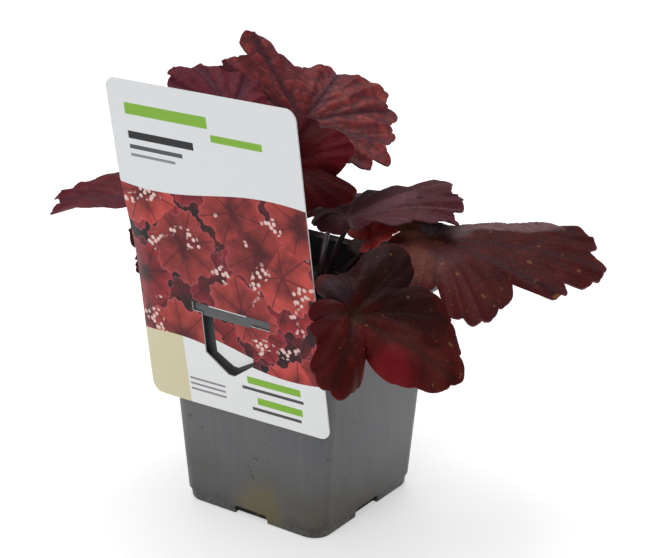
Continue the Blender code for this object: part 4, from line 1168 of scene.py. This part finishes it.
def card_print(name):
    """White plastic with the printed design, under a thin gloss."""
    made, tree, shader = new_material(name, 0.34)
    shader.inputs["Specular IOR Level"].default_value = 0.2
    place = add(tree, "Mapping", {0: add(tree, "UVMap", uv_map="flat_card"), 3: (1 / UV_MM,) * 3})
    across, up = (add(tree, "SeparateXYZ", {0: place}, output=number) for number in (0, 1))
    wave = add(tree, "Math", {0: add(tree, "Math", {0: across, 1: WAVE}, **TIMES)}, operation="SINE")
    top_edge = add(tree, "Math", {0: wave, 1: TOP_WAVE, 2: TOP_EDGE}, **TIMES_PLUS)
    low_edge = add(tree, "Math", {0: wave, 1: LOW_WAVE, 2: LOW_EDGE}, **TIMES_PLUS)
    picture = "#120a0b"
    for number, (apart, reach, dark, bright) in enumerate(FOLIAGE):
        moved = add(tree, "Mapping", {0: place, 1: (17.3 * number + 4, 31.0 - 9.1 * number, 0)})
        cells = {"Vector": moved, "Scale": 1 / apart, "Randomness": 0.75}
        middle = add(tree, "TexVoronoi", cells, output="Position", voronoi_dimensions="2D")
        tint = add(tree, "TexVoronoi", cells, output="Color", voronoi_dimensions="2D")
        tint = add(tree, "SeparateColor", {0: tint})
        arm = add(tree, "VectorMath", {0: moved, 1: middle}, operation="SUBTRACT")
        out = add(tree, "VectorMath", {0: arm}, output="Value", operation="LENGTH")
        arm_x, arm_y = (add(tree, "SeparateXYZ", {0: arm}, output=axis) for axis in (0, 1))
        angle = add(tree, "Math", {0: arm_y, 1: arm_x}, operation="ARCTAN2")
        turned = add(tree, "Math", {0: tint, 1: 6.0}, **TIMES)
        turned = add(tree, "Math", {0: angle, 1: 3.5, 2: turned}, **TIMES_PLUS)
        fine_turn = add(tree, "Math", {0: turned, 1: 4.0}, **TIMES)
        lobes, teeth, vein = (
            add(tree, "Math", {0: add(tree, "Math", {0: value}, operation=kind)}, operation="ABSOLUTE")
            for value, kind in ((turned, "COSINE"), (fine_turn, "COSINE"), (turned, "SINE")))
        teeth = add(tree, "Math", {0: teeth, 1: 0.07, 2: 0.70}, **TIMES_PLUS)
        edge = add(tree, "Math", {0: lobes, 1: 0.25, 2: teeth}, **TIMES_PLUS)
        edge = add(tree, "Math", {0: edge, 1: reach}, **TIMES)
        share = add(tree, "Math", {0: out, 1: edge}, operation="DIVIDE")
        vein = add(tree, "Math", {0: vein, 1: out}, **TIMES)
        glow = add(tree, "TexNoise", {"Vector": moved, "Scale": 0.13, "Detail": 5.0})
        glow = add(tree, "Math", {0: share, 1: 0.5, 2: glow}, **TIMES_PLUS)
        blade = dark
        for part, hue in ((add(tree, "MapRange", {0: glow, 1: 0.5, 2: 1.0}), bright),
                          (add(tree, "MapRange", {0: tint, 4: 0.6}), dark),
                          (add(tree, "MapRange", {0: vein, 1: 0.3, 2: 1.6, 3: 0.75, 4: 0.0}), dark),
                          (add(tree, "MapRange", {0: share, 1: 0.9, 2: 0.97, 4: 0.3}), "#c0606a")):
            blade = add(tree, "Mix", {0: part, 6: blade, 7: hue}, **COLOUR)
        inside = add(tree, "MapRange", {0: share, 1: 0.98, 2: 1.0, 3: 1.0, 4: 0.0})
        picture = add(tree, "Mix", {0: inside, 6: picture, 7: blade}, **COLOUR)
    dots = {"Vector": place, "Scale": 1 / 2.6, "Randomness": 0.9}
    dots = add(tree, "TexVoronoi", dots, voronoi_dimensions="2D")
    dots = add(tree, "MapRange", {0: dots, 1: 0.30, 2: 0.38, 3: 1.0, 4: 0.0})
    sprays = add(tree, "TexNoise", {"Vector": place, "Scale": 0.075, "Detail": 1.0})
    petals = add(tree, "Math", {0: dots, 1: add(tree, "MapRange", {0: sprays, 1: 0.60, 2: 0.63})}, **TIMES)
    picture = add(tree, "Mix", {0: petals, 6: picture, 7: "#e6c4bc"}, **COLOUR)
    below_top = add(tree, "Math", {0: up, 1: top_edge}, operation="LESS_THAN")
    over_low = add(tree, "Math", {0: up, 1: low_edge}, operation="GREATER_THAN")
    cream = add(tree, "MapRange", {0: across, 1: CREAM_LEFT, 2: CREAM_RIGHT, 3: 1.0, 4: 0.0})
    ground = add(tree, "Mix", {0: cream, 6: "#eaebea", 7: "#d8d0ac"}, **COLOUR)
    layers = [(below_top, ground), (add(tree, "Math", {0: below_top, 1: over_low}, **TIMES), picture)]
    for middle, level_up, wide, tall, hue in BARS:
        sides = [add(tree, "Math", {0: place_on, 1: centre, 2: half}, operation="COMPARE")
                 for place_on, centre, half in ((across, middle, wide), (up, level_up, tall))]
        layers.append((add(tree, "Math", {0: sides[0], 1: sides[1]}, **TIMES), hue))
    colour = "#e6e8e8"
    for share, hue in layers:
        colour = add(tree, "Mix", {0: share, 6: colour, 7: hue}, **COLOUR)
    drive(tree, shader, colour)
    return made


def card_stock(name):
    """The sheet's bare white plastic, seen on its back and its cut edges."""
    made, tree, shader = new_material(name, 0.4)
    place = add(tree, "TexCoord", output="Object")
    mottle = add(tree, "TexNoise", {"Vector": place, "Scale": 90.0, "Detail": 3.0})
    drive(tree, shader, add(tree, "Mix", {0: mottle, 6: "#d6d6d4", 7: "#e2e2e0"}, **COLOUR))
    return made


printed, stock = card_print("printed_label_sheet"), card_stock("white_label_sheet")
print("card materials:", len(printed.node_tree.nodes), "nodes in the print")

# %% [markdown]
# A slit and a window are stamped out of the card, and the tongue that is left between them hooks over the
# pot's lip. The card starts as a flat plate, and both openings are cut while it lies flat. Its free edge is
# bent back a little round the pot's corner. A sheet only bends where it has points, so that edge is first cut
# into strips, and every point's flat place is stored for the print before it is moved.

# %% The card's shape
CARD_TILT, CARD_TURN, CARD_MIDDLE = 8.2, 1.5, (-3.1, 23.9)      # degrees, and mm from where it passes the lip
LIP_LINE, TOUCH_HEIGHT, GAP = 95.0, 91.5, 0.3
SLIT_HALF, SLIT_TOP, SLIT_FOOT = 19.0, 1.9, -2.2
WINDOW_MIDDLE, WINDOW_HALF, WINDOW_SHOULDER, WINDOW_POINT, POINT_PART = -2.7, 12.0, -20.3, -28.0, 0.125


def card_y(height):
    """The card's middle plane at a height."""
    return -(LIP_HALF + GAP + CARD_THICK / 2) - (height - TOUCH_HEIGHT) * math.tan(math.radians(CARD_TILT))


card = rounded_plate(CARD_WIDTH, CARD_HEIGHT, CARD_CORNER, 10)
extrude(0, 0, CARD_THICK)
bpy.ops.object.mode_set(mode="OBJECT")
turn = Matrix.Translation((*CARD_MIDDLE, -CARD_THICK / 2)) @ Matrix.Rotation(math.radians(CARD_TURN), 4, "Z")
card.data.transform(turn)
cut(card, cutter((-SLIT_HALF, SLIT_FOOT, -2), (SLIT_HALF, SLIT_TOP, 2)))
bpy.ops.object.select_all(action="DESELECT")
bpy.ops.mesh.primitive_plane_add(size=1)
window = bpy.context.object
for vertex in window.data.vertices:
    vertex.co = (WINDOW_MIDDLE + math.copysign(WINDOW_HALF, vertex.co.x),
                 SLIT_FOOT + 0.5 if vertex.co.y > 0 else WINDOW_SHOULDER, -2)
bpy.ops.object.mode_set(mode="EDIT")
bpy.ops.mesh.select_mode(type="EDGE")
bpy.ops.mesh.select_all(action="DESELECT")
bottom = bmesh.from_edit_mesh(window.data)
for side in bottom.edges:
    side.select = all(v.co.y < WINDOW_SHOULDER + 0.1 for v in side.verts)
bmesh.update_edit_mesh(window.data)
extrude(0, WINDOW_POINT - WINDOW_SHOULDER, 0)
bpy.ops.transform.resize(value=(POINT_PART, 1, 1), center_override=(WINDOW_MIDDLE, WINDOW_POINT, 0))
bpy.ops.mesh.select_all(action="SELECT")
extrude(0, 0, 4)
bpy.ops.mesh.select_all(action="SELECT")
bpy.ops.mesh.normals_make_consistent(inside=False)
bpy.ops.object.mode_set(mode="OBJECT")
cut(card, window)
print("flat card:", len(card.data.polygons), "faces")

# %% The card's bend
CURL_START, CURL_WIDE, CURL_DEEP = -36.0, 12.0, 3.0       # from here on, over this width, so far back
CURL_TOP, CURL_FULL, CURL_FOOT = 58.0, 10.0, -46.0        # mm up: no bend, the full one, and less again
FOOT_LESS = 0.4
UPRIGHT_CUTS, LEVEL_CUTS = (8, 1.5), (12, 8.0)            # how many, and mm from one to the next


def ramp(value):
    """0 below 0, 1 above 1, and smooth between."""
    value = min(1.0, max(0.0, value))
    return value * value * (3 - 2 * value)


def store_layout(obj, place_of):
    """A UV map with each corner's place on the flat card."""
    layout = obj.data.uv_layers.new(name="flat_card")
    for loop in obj.data.loops:
        layout.data[loop.index].uv = Vector(place_of(obj.data.vertices[loop.vertex_index])) * UV_MM


only(card)
bpy.ops.object.mode_set(mode="EDIT")
bpy.ops.mesh.select_mode(type="FACE")
cuts = [((CURL_START - number * UPRIGHT_CUTS[1], 0, 0), (1, 0, 0)) for number in range(UPRIGHT_CUTS[0])]
cuts += [((0, CURL_TOP - number * LEVEL_CUTS[1], 0), (0, 1, 0)) for number in range(LEVEL_CUTS[0])]
for place, way in cuts:
    bpy.ops.mesh.select_all(action="SELECT")
    bpy.ops.mesh.bisect(plane_co=place, plane_no=way)
bpy.ops.object.mode_set(mode="OBJECT")
unturn = turn.inverted()
store_layout(card, lambda vertex: (unturn @ vertex.co).xy)
for vertex in card.data.vertices:
    bent = min(1.0, max(0.0, (CURL_START - vertex.co.x) / CURL_WIDE)) ** 2
    share = ramp((CURL_TOP - vertex.co.y) / (CURL_TOP - CURL_FULL))
    share *= 1 - FOOT_LESS * ramp((CURL_FULL - vertex.co.y) / (CURL_FULL - CURL_FOOT))
    vertex.co.z -= CURL_DEEP * bent * share
card.data.transform(Matrix.Translation((0, card_y(LIP_LINE), LIP_LINE))
                    @ Matrix.Rotation(math.radians(CARD_TILT), 4, "X") @ Matrix.Rotation(math.pi / 2, 4, "X"))
card.data.materials.append(printed)
card.data.materials.append(stock)
for face in card.data.polygons:
    face.material_index = 0 if face.normal.y < -0.9 else 1
print("bent card:", len(card.data.polygons), "faces")

# %% [markdown]
# The tongue is the same sheet, bent twice: through the slot in the lip, and down behind the skirt to its
# point. A grid with one row for each point of the route is moved onto the route, and Solidify gives it the
# sheet's thickness. The length run along the route tells the print how far down each row lies.

# %% The tongue
TONGUE_HALF, TONGUE_SHOULDER, TONGUE_POINT, TIP_PART = 9.2, 75.5, 70.8, 0.12
SKIRT_BACK = -(LIP_HALF - WALL)
OVER = POT_HEIGHT - SLOT_DROP + GAP + CARD_THICK / 2
BEHIND = SKIRT_BACK + GAP + CARD_THICK / 2
TONGUE_ROUTE = [(card_y(OVER) - 0.1, OVER), (BEHIND - 0.8, OVER), (BEHIND - 0.25, OVER - 0.12),
                (BEHIND, OVER - 0.5), (BEHIND + 0.1, POT_HEIGHT - SKIRT), (-43.4, 84.0),
                (-41.9, TONGUE_SHOULDER), (-41.3, TONGUE_POINT)]
LAST_ROW = len(TONGUE_ROUTE) - 1
bpy.ops.object.select_all(action="DESELECT")
bpy.ops.mesh.primitive_grid_add(x_subdivisions=1, y_subdivisions=LAST_ROW, size=1)
tongue = bpy.context.object
run = [0.0]
for first, second in zip(TONGUE_ROUTE, TONGUE_ROUTE[1:]):
    run.append(run[-1] + math.dist(first, second))
print_height = {}
for vertex in tongue.data.vertices:
    row = round((vertex.co.y + 0.5) * LAST_ROW)
    half = TONGUE_HALF * (TIP_PART if row == LAST_ROW else 1.0)
    vertex.co = ((SLOT_LOW + SLOT_HIGH) / 2 + math.copysign(half, vertex.co.x), *TONGUE_ROUTE[row])
    print_height[vertex.index] = SLIT_TOP - CARD_MIDDLE[1] - run[row]
store_layout(tongue, lambda vertex: (vertex.co.x, print_height[vertex.index]))
tongue.data.materials.append(printed)
tongue.data.materials.append(stock)
if sum(face.normal.y * face.area for face in tongue.data.polygons) >= 0:
    tongue.data.flip_normals()
use(tongue, "SOLIDIFY", thickness=CARD_THICK, offset=0.0, material_offset=1, material_offset_rim=1)
finish_piece(join([card, tongue]), "label_sheet", "label_card", 25)
